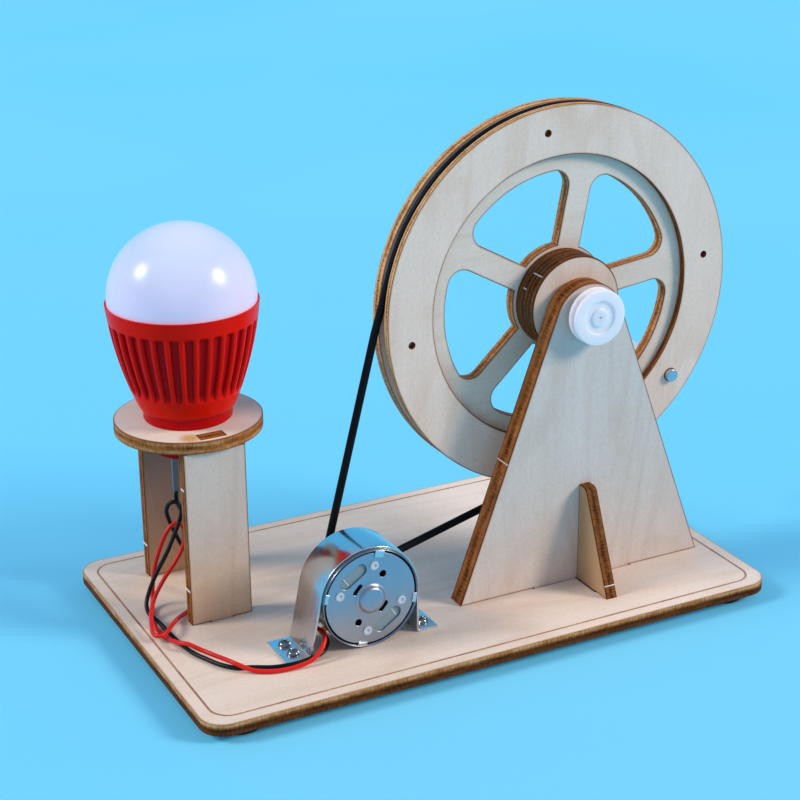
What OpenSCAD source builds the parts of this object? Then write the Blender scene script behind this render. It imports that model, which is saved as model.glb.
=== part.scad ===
// Hand crank generator: a plywood wheel drives a small motor by a round belt, and the motor lights a lamp.
// Millimetres, Z up, X along the base board, the wheel's support plate towards -Y.

/* [Sheet] */
// Thickness of the plywood sheet of the flat wooden pieces
ply = 3; // [2.6:0.1:4]
// Thickness of the thinner sheet of the wheel's front ring and rear hub disc
thin_ply = 1.8; // [1.5:0.1:3]

/* [Base] */
// Length of the base board
base_l = 150; // [146:1:190]
// Width of the base board
base_w = 90; // [84:1:120]
// Corner radius of the base board
base_corner_r = 6; // [4:0.5:10]
// Distance of the engraved border line from the board's edge
border_inset = 3; // [2:0.5:5]
// Width of the engraved border line
border_line_w = 0.6; // [0.3:0.1:1.2]
// Depth of the engraved border line
border_line_depth = 0.3; // [0.1:0.1:0.6]
// Radius of a rubber foot
foot_r = 5; // [3:0.5:6]
// Height of a rubber foot
foot_h = 2; // [1:0.5:5]
// Distance of a foot's centre from the board's end
foot_inset_x = 10; // [7:0.5:14]
// Distance of a foot's centre from the board's long edge
foot_inset_y = 7; // [7:0.5:12]

/* [Support] */
// Thickness of the support plate
support_t = 5; // [3:0.5:6]
// Width of the support plate at the base board
support_foot_w = 69; // [50:1:76]
// Radius of the support plate's rounded top
support_top_r = 9.2; // [7:0.2:12]
// Distance of the support plate's middle from the board's right edge
support_inset = 40.5; // [38:0.5:48]
// Distance of the support plate's front face in front of the board's middle
support_forward = 21; // [18:0.5:24]
// Width of the tab that holds the support plate in the base board
support_tab_w = 28; // [16:1:40]
// Length of the brace fin along the base board
brace_l = 13.7; // [10:0.1:16]
// Height of the brace fin
brace_h = 25.4; // [15:0.2:40]
// Radius of the brace fin's top corner
brace_tip_r = 1.8; // [1:0.1:3]
// Length of the brace fin's tab in the base board
brace_tab_l = 8.6; // [5:0.1:9.5]

/* [Wheel] */
// Height of the axle above the base board
axle_h = 69.4; // [64:0.2:80]
// Depth of the axle below the top of the support plate
axle_depth = 7.2; // [6:0.2:12]
// Outer radius of the wheel
wheel_r = 47.4; // [44:0.2:50]
// Width of the two outer rings
ring_w = 12; // [9:0.5:14]
// Depth of the belt groove
groove_depth = 2.1; // [1.8:0.1:4]
// Width of the spoked disc's rim that shows inside the rings
rim_ledge = 4; // [2:0.5:6]
// Number of spokes
spoke_count = 5; // [4:1:7]
// Width of a spoke
spoke_w = 6.4; // [4:0.2:9]
// Direction of the first spoke, degrees
spoke_angle = 7; // [0:1:71]
// Radius of the openings' outer corners
opening_corner_r = 3.8; // [2:0.2:6]
// Radius of a hub disc
hub_r = 12.2; // [9:0.2:14]
// Width of the spoked disc's boss that shows around the hub discs
boss_ledge = 0.8; // [0.4:0.1:2]
// Number of small holes in the front ring
ring_hole_count = 4; // [2:1:4]
// Radius of a small hole
ring_hole_r = 0.8; // [0.6:0.1:1.6]
// Radius of the axle
axle_r = 1; // [0.8:0.1:1.6]
// Length of the axle behind the wheel
axle_tail = 1.5; // [0:0.5:4]
// Play of the hub behind the support plate
hub_play = 1; // [0.4:0.1:1.5]

/* [Axle stop] */
// Radius of the axle stop's flanges
stop_r = 6.8; // [5.5:0.1:9]
// Width of the axle stop
stop_w = 3.4; // [3:0.1:6]
// Depth of the groove between the flanges
stop_groove = 1.6; // [0.8:0.1:2.4]
// Width of the groove between the flanges
stop_groove_w = 1.2; // [0.8:0.1:1.8]
// Radius of the recess in the front face
stop_recess_r = 3.6; // [3:0.1:4.5]
// Depth of the recess in the front face
stop_recess = 1; // [0.5:0.1:1.6]
// Radius of the sleeve in the recess
stop_sleeve_r = 1.7; // [1.5:0.1:2.4]
// Thickness of the sleeve's closed end
stop_end = 0.8; // [0.5:0.1:1.2]
// Radius of the pinhole in the closed end
stop_pinhole_r = 0.2; // [0.15:0.05:0.5]
// Play of the axle stop in front of the support plate
stop_play = 1.4; // [0.4:0.1:2]

/* [Crank] */
// Turn of the crank pin from the first spoke, degrees
crank_turn = -45; // [-60:1:-20]
// Radius of the crank pin
crank_pin_r = 1.6; // [1.2:0.1:2.2]
// Length of the crank pin in front of the wheel
crank_proud = 1.2; // [0.6:0.1:4]
// Radius of the crank grip
grip_r = 3.5; // [3:0.1:5]
// Length of the crank grip
grip_l = 17; // [12:1:25]
// Radius of the crank pin's end flange
pin_flange_r = 2.8; // [2.4:0.1:3]
// Thickness of the crank pin's end flange
pin_flange_t = 1.2; // [0.8:0.1:2]

/* [Motor] */
// Radius of the motor can
motor_r = 12.2; // [11:0.1:13]
// Length of the motor can
motor_l = 12.4; // [12:0.1:15]
// Distance of the motor's front in front of the board's middle
motor_forward = 28.3; // [27:0.1:30]
// Wall thickness of the motor can
can_wall = 0.8; // [0.5:0.1:1.2]
// Radius of the motor shaft
shaft_r = 1; // [0.75:0.05:1.2]
// Depth of the end cap behind the can's front edge
cap_recess = 0.4; // [0.2:0.1:0.8]
// Thickness of the end cap
cap_t = 1; // [0.8:0.1:1.4]
// Radius of the end cap's boss
boss_r = 3.2; // [2.8:0.1:3.6]
// Height of the end cap's boss
boss_h = 1.3; // [0.8:0.1:2]
// Length of the end cap's oblong slots
vent_l = 7.6; // [6:0.1:8.4]
// Width of the end cap's oblong slots
vent_w = 2.6; // [1.6:0.1:3]
// Distance of the oblong slots from the motor's axis
vent_r = 7.7; // [7.4:0.1:8.2]
// Direction of the first oblong slot, degrees
vent_angle = 124; // [120:1:126]
// Distance of the rivets from the motor's axis
rivet_circle_r = 8.2; // [8:0.1:8.8]
// Radius of a rivet's head
rivet_r = 1.1; // [0.7:0.1:1.3]
// Radius of the end cap's round holes
cap_hole_r = 1; // [0.6:0.1:1.2]

/* [Bracket] */
// Thickness of the bracket's strap
strap_t = 0.5; // [0.4:0.1:0.8]
// Width of the bracket's strap
strap_w = 11.6; // [9:0.1:12]
// Distance of the strap behind the motor's front
strap_back = 0.9; // [0.5:0.1:2]
// Reach of the strap's slanted side from the motor's axis
strap_reach = 15.2; // [14.6:0.1:18]
// Length of the bracket's left foot
left_foot_l = 6; // [5:0.1:8]
// Length of the bracket's right foot
right_foot_l = 5; // [4.2:0.1:7]
// Distance of the bracket from the support plate
bracket_gap = 9.8; // [6:0.2:14]
// Radius of a screw's head
screw_head_r = 1.5; // [1.2:0.1:1.8]
// Height of a screw's head
screw_head_h = 1.1; // [0.8:0.1:1.6]
// Radius of a screw's shank
screw_r = 0.8; // [0.6:0.05:1]
// Distance between the two screws of a foot
screw_pitch = 4.9; // [4:0.1:7]

/* [Belt] */
// Diameter of the belt
belt_d = 1.9; // [1.6:0.1:2]
// Offset of the motor pulley's groove in front of the wheel's groove
belt_offset = 4.0; // [0:0.1:5.4]
// Radius of the motor pulley's groove floor
pulley_floor_r = 2.45; // [2.2:0.05:3]
// Radius of the motor pulley's flanges
pulley_r = 4.6; // [4.2:0.1:5.4]
// Thickness of a flange of the motor pulley
pulley_flange_t = 1; // [0.8:0.1:1.5]

/* [Lamp stand] */
// Distance of the lamp's axis from the board's left edge
lamp_inset = 21.8; // [21:0.1:22.6]
// Distance of the lamp's axis behind the board's middle
lamp_back = 16.6; // [16:0.1:17.2]
// Height of the posts
post_h = 44; // [43:0.5:60]
// Width of a post
post_w = 15.4; // [11:0.2:17]
// Distance between the middles of the two posts
post_pitch = 29.2; // [28.4:0.1:30]
// Width of a post's tabs
post_tab_w = 6; // [4:0.2:9]
// Radius of the lamp disc
disc_r = 17.7; // [17.4:0.1:20]

/* [Lamp] */
// Radius of the lamp's plug in the lamp disc
plug_r = 9; // [7:0.2:10]
// Length of the lamp's plug
plug_l = 8; // [6:0.2:9]
// Radius of the lamp's neck
neck_r = 10.6; // [10.4:0.1:11.2]
// Height of the lamp's neck
neck_h = 2.4; // [1.5:0.1:4]
// Radius of the lamp body above the neck
shoulder_r = 11.6; // [11.4:0.1:12.6]
// Height of the slope between the neck and the lamp body
shoulder_h = 1.1; // [0.6:0.1:2]
// Radius of the lamp's rim
rim_r = 18; // [17:0.1:20]
// Height of the lamp's rim above the lamp disc
rim_h = 28.6; // [27:0.1:34]
// Bulge of the lamp body's side
body_bulge = 1; // [0.4:0.1:1.6]
// Wall thickness of the lamp body
body_wall = 2; // [1.6:0.1:2.4]
// Number of flutes around the lamp body
flute_count = 32; // [24:1:36]
// Radius of a flute
flute_r = 1.3; // [1:0.1:1.6]
// Depth of a flute
flute_depth = 0.8; // [0.4:0.1:1]
// Wall thickness of the dome
dome_wall = 1.2; // [0.8:0.1:1.8]
// Width of the rim outside the dome
rim_lip = 0.5; // [0.4:0.1:1]
// Height of the dome's widest line above the rim
dome_rise = 0.9; // [0:0.1:2]
// Depth of the dome's skirt inside the rim
dome_skirt = 1.5; // [1:0.1:2.5]
// Thickness of the light board
board_t = 1.6; // [1:0.1:2]
// Number of light chips
chip_count = 6; // [4:1:8]
// Length of the lamp's terminal legs
leg_l = 11; // [9:0.5:13]
// Width of a terminal leg
leg_w = 1.4; // [1.2:0.1:1.8]
// Thickness of a terminal leg
leg_t = 0.6; // [0.4:0.1:1]
// Distance between the two terminal legs
leg_pitch = 8.2; // [7.6:0.1:9]

/* [Wires] */
// Diameter of the wires
wire_d = 1.05; // [0.9:0.05:1.2]

/* [Hidden] */
$fn = 96;
through = 1;
slot_gap = 0.1;
seat_gap = 0.02;
run_gap = 0.05;
belt_gap = 0.3;
face_gap = 0.3;
wire_sides = 8;
belt_sides = 8;

overhang = max(0, wheel_r - support_inset);
left = -(base_l + overhang) / 2;
base_x = left + base_l / 2;
base_top = foot_h + ply;
border_l = base_l - 2 * border_inset;
border_w = base_w - 2 * border_inset;
border_corner_r = base_corner_r - border_inset / 3;

axle_x = left + base_l - support_inset;
axle_z = base_top + axle_h;
support_front = -support_forward;
support_back = support_front + support_t;
support_top_c = [0, axle_h + axle_depth - support_top_r];
hub_front = support_back + hub_play;
spoked_front = hub_front + 2 * ply + thin_ply;
front_ring_y = spoked_front - thin_ply;
back_ring_y = spoked_front + ply;
wheel_back = back_ring_y + ply;
ring_inner_r = wheel_r - ring_w;
ring_mid_r = wheel_r - ring_w / 2;
groove_r = wheel_r - groove_depth;
opening_r = ring_inner_r - rim_ledge;
hub_boss_r = hub_r + boss_ledge;
crank_angle = spoke_angle + crank_turn;
grip_front = wheel_back + face_gap;
grip_back = grip_front + grip_l;

motor_z = base_top + motor_r + seat_gap;
motor_front = -motor_forward;
motor_back = motor_front + motor_l;
can_in_r = motor_r - can_wall;
cap_front = motor_front + cap_recess;
cap_back = cap_front + cap_t;
cap_hole_circle_r = 6.4;
cap_hole_angle = 60;
brush_slot_l = 3;
brush_slot_w = 1;
brush_slot_r = boss_r + 1;
brush_slot_angle = 139;
rivet_angles = [83, 164, 263, 344];
rivet_head = 0.3;
crimp_angles = [78, 168, 258, 348];
crimp_w = 2.4;
crimp_l = 1.3;
boss_front = cap_front - boss_h;
boss_wall = 0.5;
plate_t = 1;
plate_back = cap_back + plate_t;
bush_r = 2.2;
bush_l = 2.6;
bush_in = 0.6;
bush_rear = motor_back - can_wall - bush_in;
brush_t = 0.3;
brush_l = 6;
brush_w = 1.6;
commutator_l = 3;
commutator_r = 2.4;
core_front = plate_back + commutator_l;
core_l = 4;
magnet_t = 1.4;
magnet_over = 0.5;
air_gap = 0.6;
core_r = can_in_r - magnet_t - air_gap;
core_hub_r = 3;
pole_angles = [90, 210, 330];
pole_w = 3;
shoe_w = 11;
shoe_t = 1.6;
coil_w = 6;
coil_in = 4.2;
coil_out = core_r - shoe_t - 0.8;
coil_end = 1;
tag_y = motor_front + motor_l / 2 + 1;
tag_w = 1.4;
tag_t = 0.6;
tag_reach = 1.9;
tag_angles = [212, 226];
wire_seat_r = motor_r + tag_reach - wire_d / 2;

groove_y = spoked_front + ply / 2;
pulley_y = groove_y - belt_offset;
pulley_w = belt_d + 2 * belt_gap + 2 * pulley_flange_t;
shaft_end = 0.5;
shaft_front = cap_front + shaft_end;
shaft_back = pulley_y + pulley_w / 2 + shaft_end;
belt_wheel_r = groove_r + belt_gap + belt_d / 2;
belt_pulley_r = pulley_floor_r + belt_gap + belt_d / 2;

strap_in_r = motor_r + seat_gap;
strap_mid_r = strap_in_r + strap_t / 2;
strap_front = motor_front + strap_back;
strap_side_x = strap_in_r + strap_t;
strap_bend = [-strap_reach, strap_t / 2];
strap_c = [0, motor_z - base_top];
strap_steps = 32;
strap_right = strap_side_x + right_foot_l;
motor_x = axle_x - support_foot_w / 2 - bracket_gap - strap_right;
left_screw_x = -strap_reach - left_foot_l / 2;
right_screw_x = strap_right - right_foot_l / 2;
screw_floor = 0.4;
screw_depth = ply - screw_floor;
screw_tip_gap = 0.1;
recess_w = 0.5;
recess_l = 1.3 * screw_head_r;
recess_depth = 0.5;
recess_angle = 35;

lamp_x = left + lamp_inset;
lamp_y = lamp_back;
disc_z = base_top + post_h;
disc_top = disc_z + ply;
post_front_y = lamp_y - post_pitch / 2 - ply / 2;
post_rear_y = lamp_y + post_pitch / 2 - ply / 2;
dome_r = rim_r - rim_lip - seat_gap;
side_low = [shoulder_r, neck_h + shoulder_h];
side_high = [rim_r, rim_h];
flute_low_ratio = 0.19;
flute_high_ratio = 0.845;
board_ratio = 0.72;
board_z = side_low.y + board_ratio * (side_high.y - side_low.y);
board_r = side_point(board_ratio).x - body_wall;
board_seat = 1.6;
chip_ratio = 0.62;
chip_w = 3;
chip_t = 0.8;
leg_bottom = disc_top - plug_l - leg_l;

// Route of the red wire's underside from motor to lamp: from the board's left edge, middle and top face, with
// the motor's axis way_motor_x from that edge. The first way_soft points follow the motor where it stands
// elsewhere.
way_motor_x = 47.5;
way_soft = 14;
red_way = [
    [36.3, -26.2, 4.47], [34.7, -28.6, 2.68], [31.4, -29.9, 0.78], [26.5, -29.9, 0.05],
    [22, -29.2, 0.05], [18, -27.1, 0.32], [15.2, -24.3, 1.27], [14, -21.6, 1.27],
    [12.9, -17.3, 0.57], [11, -13.5, 0.67], [8.7, -10.7, 1.47], [7, -8, 1.07],
    [6.3, -3, 0.05], [5.7, 1.2, 0.05], [6.2, 4.6, 0.05], [7.2, 8.4, 0.05],
    [8.5, 12.4, 0.22], [9.5, 14.8, 2.27], [10, 15, 6.47], [11, 15, 10.97],
    [12.8, 15.1, 15.47], [14.6, 15.2, 18.48], [16.3, 15.1, 19.78], [17.7, 14, 19.48],
    [17.8, 12.6, 17.68], [16.4, 11.3, 14.67], [13.8, 10.4, 11.47], [10.6, 9.4, 8.47],
    [7.8, 7.9, 5.47], [5.7, 5.2, 3.18], [4.2, 1, 1.58], [3.5, -2.3, 1.27],
    [4.6, -3.9, 1.38], [6.7, -2.8, 1.58], [9, 0, 1.47], [12, 4, 0.53],
    [16.5, 7.6, 0.12], [21.5, 10.8, 1.07], [24.7, 14, 4.97], [25.8, 16.2, 10.47],
    [25.9, 16.6, 17.48]
];

// Route of the black wire's underside from motor to lamp.
black_way = [
    [37.4, -25.2, 1.47], [35.2, -27.7, 0.78], [31.7, -28.3, 0.32], [28, -28.4, 0.05],
    [23, -27.6, 0.05], [18.5, -25.3, 0.05], [15.2, -23.8, 0.05], [12.7, -20.9, 0.05],
    [10.8, -17, 0.05], [9, -12.3, 0.05], [8, -6, 0.05], [7.5, 0, 0.22],
    [6.8, 2.8, 1.07], [6.1, 5.4, 1.47], [5.9, 8, 1.68], [6.4, 10.3, 3.18],
    [8.2, 11.6, 6.47], [10.3, 12, 9.97], [12.8, 12.1, 13.97], [15.1, 12.8, 17.78],
    [17, 13.5, 21.08], [17.9, 14.2, 23.48], [17.2, 14.9, 25.18], [15.7, 15.7, 25.08],
    [14.9, 16.4, 23.08], [15.6, 17, 20.08], [17, 17.2, 16.28], [18.7, 17, 12.28],
    [20.8, 16.8, 9.97], [23, 16.6, 11.07], [23, 16.6, 14.47], [21.2, 16.8, 18.48],
    [18.8, 16.8, 22.08]
];

function unit(v) = v / norm(v);
function on_circle(c, r, a) = [c.x + r * cos(a), c.y + r * sin(a)];
function arc(c, r, a0, a1, steps) = [for (i = [0:steps]) on_circle(c, r, a0 + (a1 - a0) * i / steps)];
// Direction from a circle's centre to where the line from point p touches it, on one side or the other.
function touch_angle(p, c, r, side) = atan2(p.y - c.y, p.x - c.x) + side * acos(r / norm(p - c));
function rounded_box(l, w, r) = concat(
    arc([l / 2 - r, w / 2 - r], r, 0, 90, 8), arc([r - l / 2, w / 2 - r], r, 90, 180, 8),
    arc([r - l / 2, r - w / 2], r, 180, 270, 8), arc([l / 2 - r, r - w / 2], r, 270, 360, 8));
// Point on the lamp body's side in the section plane, from the shoulder (0) to the rim (1).
function side_point(s) = let (chord = side_high - side_low, out = unit([chord.y, -chord.x]))
    side_low + s * chord + out * body_bulge * 4 * s * (1 - s);

// Outline of one wheel opening around the X axis, between two neighbouring spokes.
function opening_half() = let (
        half = 180 / spoke_count,
        c_r = opening_r - opening_corner_r,
        c_v = spoke_w / 2 + opening_corner_r,
        c_a = half - asin(c_v / c_r),
        in_a = half - asin(spoke_w / 2 / hub_boss_r))
    concat(arc([0, 0], hub_boss_r, 0, in_a, 5),
        arc(c_r * [cos(c_a), sin(c_a)], opening_corner_r, half + 90, c_a, 8),
        arc([0, 0], opening_r, c_a, 0, 8));
function opening_outline() = let (half = opening_half(), n = len(half))
    concat(half, [for (i = [n - 2:-1:1]) [half[i].x, -half[i].y]]);

// Stations of the belt's centre line: x, z, direction outwards, y.
function belt_stations() = let (
        wheel = [axle_x, axle_z],
        pulley = [motor_x, motor_z],
        away = atan2(pulley.y - wheel.y, pulley.x - wheel.x),
        open = acos((belt_wheel_r - belt_pulley_r) / norm(pulley - wheel)),
        clear = sqrt(pow(wheel_r + belt_d, 2) - pow(belt_wheel_r, 2)),
        first = away + open,
        last = away + 360 - open,
        leave = on_circle(wheel, belt_wheel_r, last) + clear * [sin(last), -cos(last)] * -1,
        meet = on_circle(wheel, belt_wheel_r, first) + clear * [sin(first), -cos(first)])
    concat(
        [[meet.x, meet.y, first, groove_y]],
        [for (i = [0:40]) let (a = first + (last - first) * i / 40, p = on_circle(wheel, belt_wheel_r, a))
            [p.x, p.y, a, groove_y]],
        [[leave.x, leave.y, last, groove_y]],
        [for (i = [0:10]) let (a = away - open + 2 * open * i / 10, p = on_circle(pulley, belt_pulley_r, a))
            [p.x, p.y, a, pulley_y]]);
function belt_ring(s) = [for (k = [0:belt_sides - 1]) let (a = 360 * k / belt_sides, d = belt_d / 2 * cos(a))
    [s[0] + d * cos(s[2]), s[3] + belt_d / 2 * sin(a), s[1] + d * sin(s[2])]];

// Wire along a way of points, with a side direction carried from ring to ring.
function heading(p, i) = unit(p[min(i + 1, len(p) - 1)] - p[max(i - 1, 0)]);
function carried(u, t) = unit(u - (u * t) * t);
function wire_sides_of(p) = [for (i = 0, u = carried([1, 0, 0], heading(p, 0)); i < len(p);
    i = i + 1, u = i < len(p) ? carried(u, heading(p, i)) : u) u];
function wire_ring(c, u, t) = let (v = cross(t, u))
    [for (k = [0:wire_sides - 1]) let (a = 360 * k / wire_sides) c + wire_d / 2 * (cos(a) * u + sin(a) * v)];
function flat_list(rows) = [for (row = rows) for (item = row) item];
function tag_point(k, r) = [motor_x + r * cos(tag_angles[k]), tag_y, motor_z + r * sin(tag_angles[k])];
function wire_way(way, k, side) = let (
        start = tag_point(k, wire_seat_r),
        finish = [lamp_x + side * leg_pitch / 2, lamp_y, leg_bottom],
        shift = motor_x - left - way_motor_x)
    concat([start, start - [0, 1.6 * wire_d, 0]],
        [for (i = [0:len(way) - 1]) let (p = way[i])
            [left + p.x + shift * max(0, 1 - i / way_soft), p.y, base_top + wire_d / 2 + p.z]],
        [finish - [0, 0, 2.3 * wire_d], finish]);

module wire(points) {
    side = wire_sides_of(points);
    n = len(points);
    rings = [for (i = [0:n - 1]) wire_ring(points[i], side[i], heading(points, i))];
    walls = [for (i = [0:n - 2]) for (k = [0:wire_sides - 1]) let (q = (k + 1) % wire_sides)
        [i * wire_sides + k, (i + 1) * wire_sides + k, (i + 1) * wire_sides + q, i * wire_sides + q]];
    ends = [[for (k = [0:wire_sides - 1]) k], [for (k = [wire_sides - 1:-1:0]) (n - 1) * wire_sides + k]];
    polyhedron(points = flat_list(rings), faces = concat(walls, ends), convexity = 10);
}

// Flat piece that stands in the XZ plane, its front face at y.
module upright(y, t) {
    translate([0, y + t, 0]) rotate([90, 0, 0]) linear_extrude(t) children();
}

// Turned piece along Y.
module turned(y, l, r) {
    translate([0, y, 0]) rotate([-90, 0, 0]) cylinder(h = l, r = r);
}

module at_axle() {
    translate([axle_x, 0, axle_z]) children();
}

module at_motor() {
    translate([motor_x, 0, motor_z]) children();
}

module around_axle(a, r) {
    translate([r * cos(a), 0, r * sin(a)]) children();
}

module tab_slot(x, y, w, t) {
    translate([x - w / 2 - slot_gap, y - slot_gap, foot_h - through])
        cube([w + 2 * slot_gap, t + 2 * slot_gap, ply + 2 * through]);
}

module feet_places() {
    for (sx = [-1, 1], sy = [-1, 1])
        translate([base_x + sx * (base_l / 2 - foot_inset_x), sy * (base_w / 2 - foot_inset_y), 0]) children();
}

module screw_places() {
    for (x = [left_screw_x, right_screw_x], s = [-1, 1])
        translate([motor_x + x, strap_front + strap_w / 2 + s * screw_pitch / 2, base_top]) children();
}

module base_board() {
    color("burlywood") difference() {
        translate([base_x, 0, foot_h]) linear_extrude(ply) polygon(rounded_box(base_l, base_w, base_corner_r));
        translate([base_x, 0, base_top - border_line_depth]) linear_extrude(ply) difference() {
            polygon(rounded_box(border_l, border_w, border_corner_r));
            polygon(rounded_box(border_l - 2 * border_line_w, border_w - 2 * border_line_w,
                border_corner_r - border_line_w));
        }
        tab_slot(axle_x, support_front, support_tab_w, support_t);
        tab_slot(axle_x, support_front - brace_tab_l, ply, brace_tab_l);
        tab_slot(lamp_x, post_front_y, post_tab_w, ply);
        tab_slot(lamp_x, post_rear_y, post_tab_w, ply);
        screw_places() translate([0, 0, -screw_depth]) cylinder(h = ply, r = screw_r + seat_gap);
    }
}

module rubber_feet() {
    color("dimgray") feet_places() cylinder(h = foot_h, r = foot_r);
}

module support_plate() {
    corner = [support_foot_w / 2, 0];
    turn = touch_angle(corner, support_top_c, support_top_r, 1);
    tab = support_tab_w / 2;
    outline = concat([[-tab, -ply], [tab, -ply], [tab, 0], corner],
        arc(support_top_c, support_top_r, turn, 180 - turn, 24), [-corner, [-tab, 0]]);
    color("wheat") difference() {
        translate([axle_x, 0, base_top]) upright(support_front, support_t) polygon(outline);
        at_axle() turned(support_front - through, support_t + 2 * through, axle_r + run_gap);
    }
}

module brace_fin() {
    tip = [brace_tip_r, brace_h - brace_tip_r];
    turn = touch_angle([brace_l, 0], tip, brace_tip_r, 1);
    outline = concat([[0, -ply], [brace_tab_l, -ply], [brace_tab_l, 0], [brace_l, 0]],
        arc(tip, brace_tip_r, turn, 90, 6), [[0, brace_h]]);
    color("wheat") translate([axle_x - ply / 2, support_front, base_top]) rotate([90, 0, 90]) linear_extrude(ply)
        polygon([for (p = outline) [-p.x, p.y]]);
}

module post(y) {
    half = post_w / 2;
    tab = post_tab_w / 2;
    top = post_h + ply;
    translate([lamp_x, 0, base_top]) upright(y, ply) polygon([
        [-half, 0], [-tab, 0], [-tab, -ply], [tab, -ply], [tab, 0], [half, 0],
        [half, post_h], [tab, post_h], [tab, top], [-tab, top], [-tab, post_h], [-half, post_h]]);
}

module post_front() {
    color("wheat") post(post_front_y);
}

module post_rear() {
    color("wheat") post(post_rear_y);
}

module lamp_disc() {
    color("wheat") difference() {
        translate([lamp_x, lamp_y, disc_z]) cylinder(h = ply, r = disc_r);
        translate([lamp_x, lamp_y, disc_z - through]) cylinder(h = ply + 2 * through, r = plug_r + slot_gap);
        for (y = [post_front_y, post_rear_y])
            translate([lamp_x - post_tab_w / 2 - slot_gap, y - slot_gap, disc_z - through])
                cube([post_tab_w + 2 * slot_gap, ply + 2 * slot_gap, ply + 2 * through]);
    }
}

module flute() {
    low = side_point(flute_low_ratio);
    high = side_point(flute_high_ratio);
    along = high - low;
    out = unit([along.y, -along.x]);
    middle = side_point((flute_low_ratio + flute_high_ratio) / 2);
    sag = (middle - low) * out;
    foot = low + out * (flute_r - flute_depth + sag);
    translate([foot.x, 0, foot.y]) rotate([0, atan2(along.x, along.y), 0])
        cylinder(h = norm(along), r = flute_r, $fn = 24);
}

module lamp_body() {
    steps = 8;
    outside = [for (i = [0:steps]) side_point(i / steps)];
    inside = [for (i = [6:-1:1]) side_point(board_ratio * i / 6) - [body_wall + board_seat, 0]];
    profile = concat([[0, -plug_l], [plug_r, -plug_l], [plug_r, 0], [neck_r, 0], [neck_r, neck_h]], outside,
        [[rim_r - rim_lip, rim_h], [rim_r - rim_lip, rim_h - dome_skirt],
            [board_r + slot_gap, rim_h - dome_skirt], [board_r + slot_gap, board_z]], inside,
        [[0, side_point(board_ratio / 6).y]]);
    color("crimson") translate([lamp_x, lamp_y, disc_top]) difference() {
        rotate_extrude() polygon(profile);
        for (k = [0:flute_count - 1]) rotate([0, 0, 360 * (k + 0.5) / flute_count]) flute();
    }
}

module lamp_dome() {
    skirt = dome_rise + dome_skirt;
    color("ghostwhite") translate([lamp_x, lamp_y, disc_top + rim_h + dome_rise]) difference() {
        union() {
            intersection() {
                sphere(r = dome_r);
                translate([0, 0, dome_r / 2]) cube([3 * dome_r, 3 * dome_r, dome_r], center = true);
            }
            translate([0, 0, -skirt]) cylinder(h = skirt, r = dome_r);
        }
        sphere(r = dome_r - dome_wall);
        translate([0, 0, -skirt - through]) cylinder(h = skirt + through, r = dome_r - dome_wall);
    }
}

module lamp_board() {
    color("darkgreen") translate([lamp_x, lamp_y, disc_top + board_z]) cylinder(h = board_t, r = board_r);
}

module lamp_chips() {
    color("khaki") for (k = [0:chip_count - 1])
        translate([lamp_x, lamp_y, disc_top + board_z + board_t]) rotate([0, 0, 360 * k / chip_count])
            translate([chip_ratio * board_r - chip_w / 2, -chip_w / 2, 0]) cube([chip_w, chip_w, chip_t]);
}

module lamp_legs() {
    color("silver") for (s = [-1, 1])
        translate([lamp_x + s * leg_pitch / 2 - leg_w / 2, lamp_y - leg_t / 2, leg_bottom])
            cube([leg_w, leg_t, leg_l]);
}

module tag_shape(grow) {
    for (a = tag_angles)
        translate([motor_x, tag_y, motor_z]) rotate([0, -a, 0])
            translate([can_in_r - grow, -grow, -tag_w / 2 - grow])
                cube([grow + can_wall + tag_reach, tag_t + 2 * grow, tag_w + 2 * grow]);
}

module motor_can() {
    color("silver") difference() {
        union() {
            at_motor() difference() {
                turned(motor_front, motor_l, motor_r);
                turned(motor_front - through, motor_l - can_wall + through, can_in_r);
                turned(motor_back - can_wall - through, can_wall + 2 * through, bush_r + seat_gap);
            }
            for (a = crimp_angles)
                at_motor() rotate([0, -a, 0]) translate([can_in_r - crimp_l, motor_front, -crimp_w / 2])
                    cube([crimp_l + can_wall / 2, cap_recess, crimp_w]);
        }
        tag_shape(slot_gap);
    }
}

module oblong(l, w) {
    square([l - w, w], center = true);
    for (s = [-1, 1]) translate([s * (l - w) / 2, 0]) circle(d = w, $fn = 24);
}

// Round holes and brush slots that pass through the end cap and the brush plate.
module cap_openings() {
    for (k = [0, 180]) {
        rotate(cap_hole_angle + k) translate([cap_hole_circle_r, 0]) circle(r = cap_hole_r, $fn = 24);
        rotate(brush_slot_angle + k) translate([brush_slot_r, 0])
            square([brush_slot_w, brush_slot_l], center = true);
    }
}

module rivet_places() {
    for (a = rivet_angles)
        at_motor() rotate([0, -a, 0]) translate([rivet_circle_r, 0, 0]) children();
}

module motor_cap() {
    color("lightsteelblue") difference() {
        at_motor() union() {
            upright(cap_front, cap_t) difference() {
                circle(r = can_in_r - seat_gap);
                for (k = [0, 180]) rotate(vent_angle + k) translate([vent_r, 0]) rotate(90) oblong(vent_l, vent_w);
                cap_openings();
            }
            turned(boss_front, boss_h + cap_t, boss_r);
        }
        at_motor() turned(boss_front + boss_wall, boss_h + cap_t, bush_r + seat_gap);
        rivet_places() turned(cap_front - through, cap_t + 2 * through, rivet_r / 2 + seat_gap);
    }
}

module motor_rivets() {
    color("gainsboro") rivet_places() {
        turned(cap_front - rivet_head, rivet_head, rivet_r);
        turned(cap_front, cap_t + plate_t, rivet_r / 2);
    }
}

module motor_brush_plate() {
    color("darkseagreen") difference() {
        at_motor() upright(cap_back, plate_t) difference() {
            circle(r = can_in_r - slot_gap);
            circle(r = bush_r + 1);
            cap_openings();
        }
        rivet_places() turned(cap_back - through, plate_t + 2 * through, rivet_r / 2 + seat_gap);
    }
}

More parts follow.
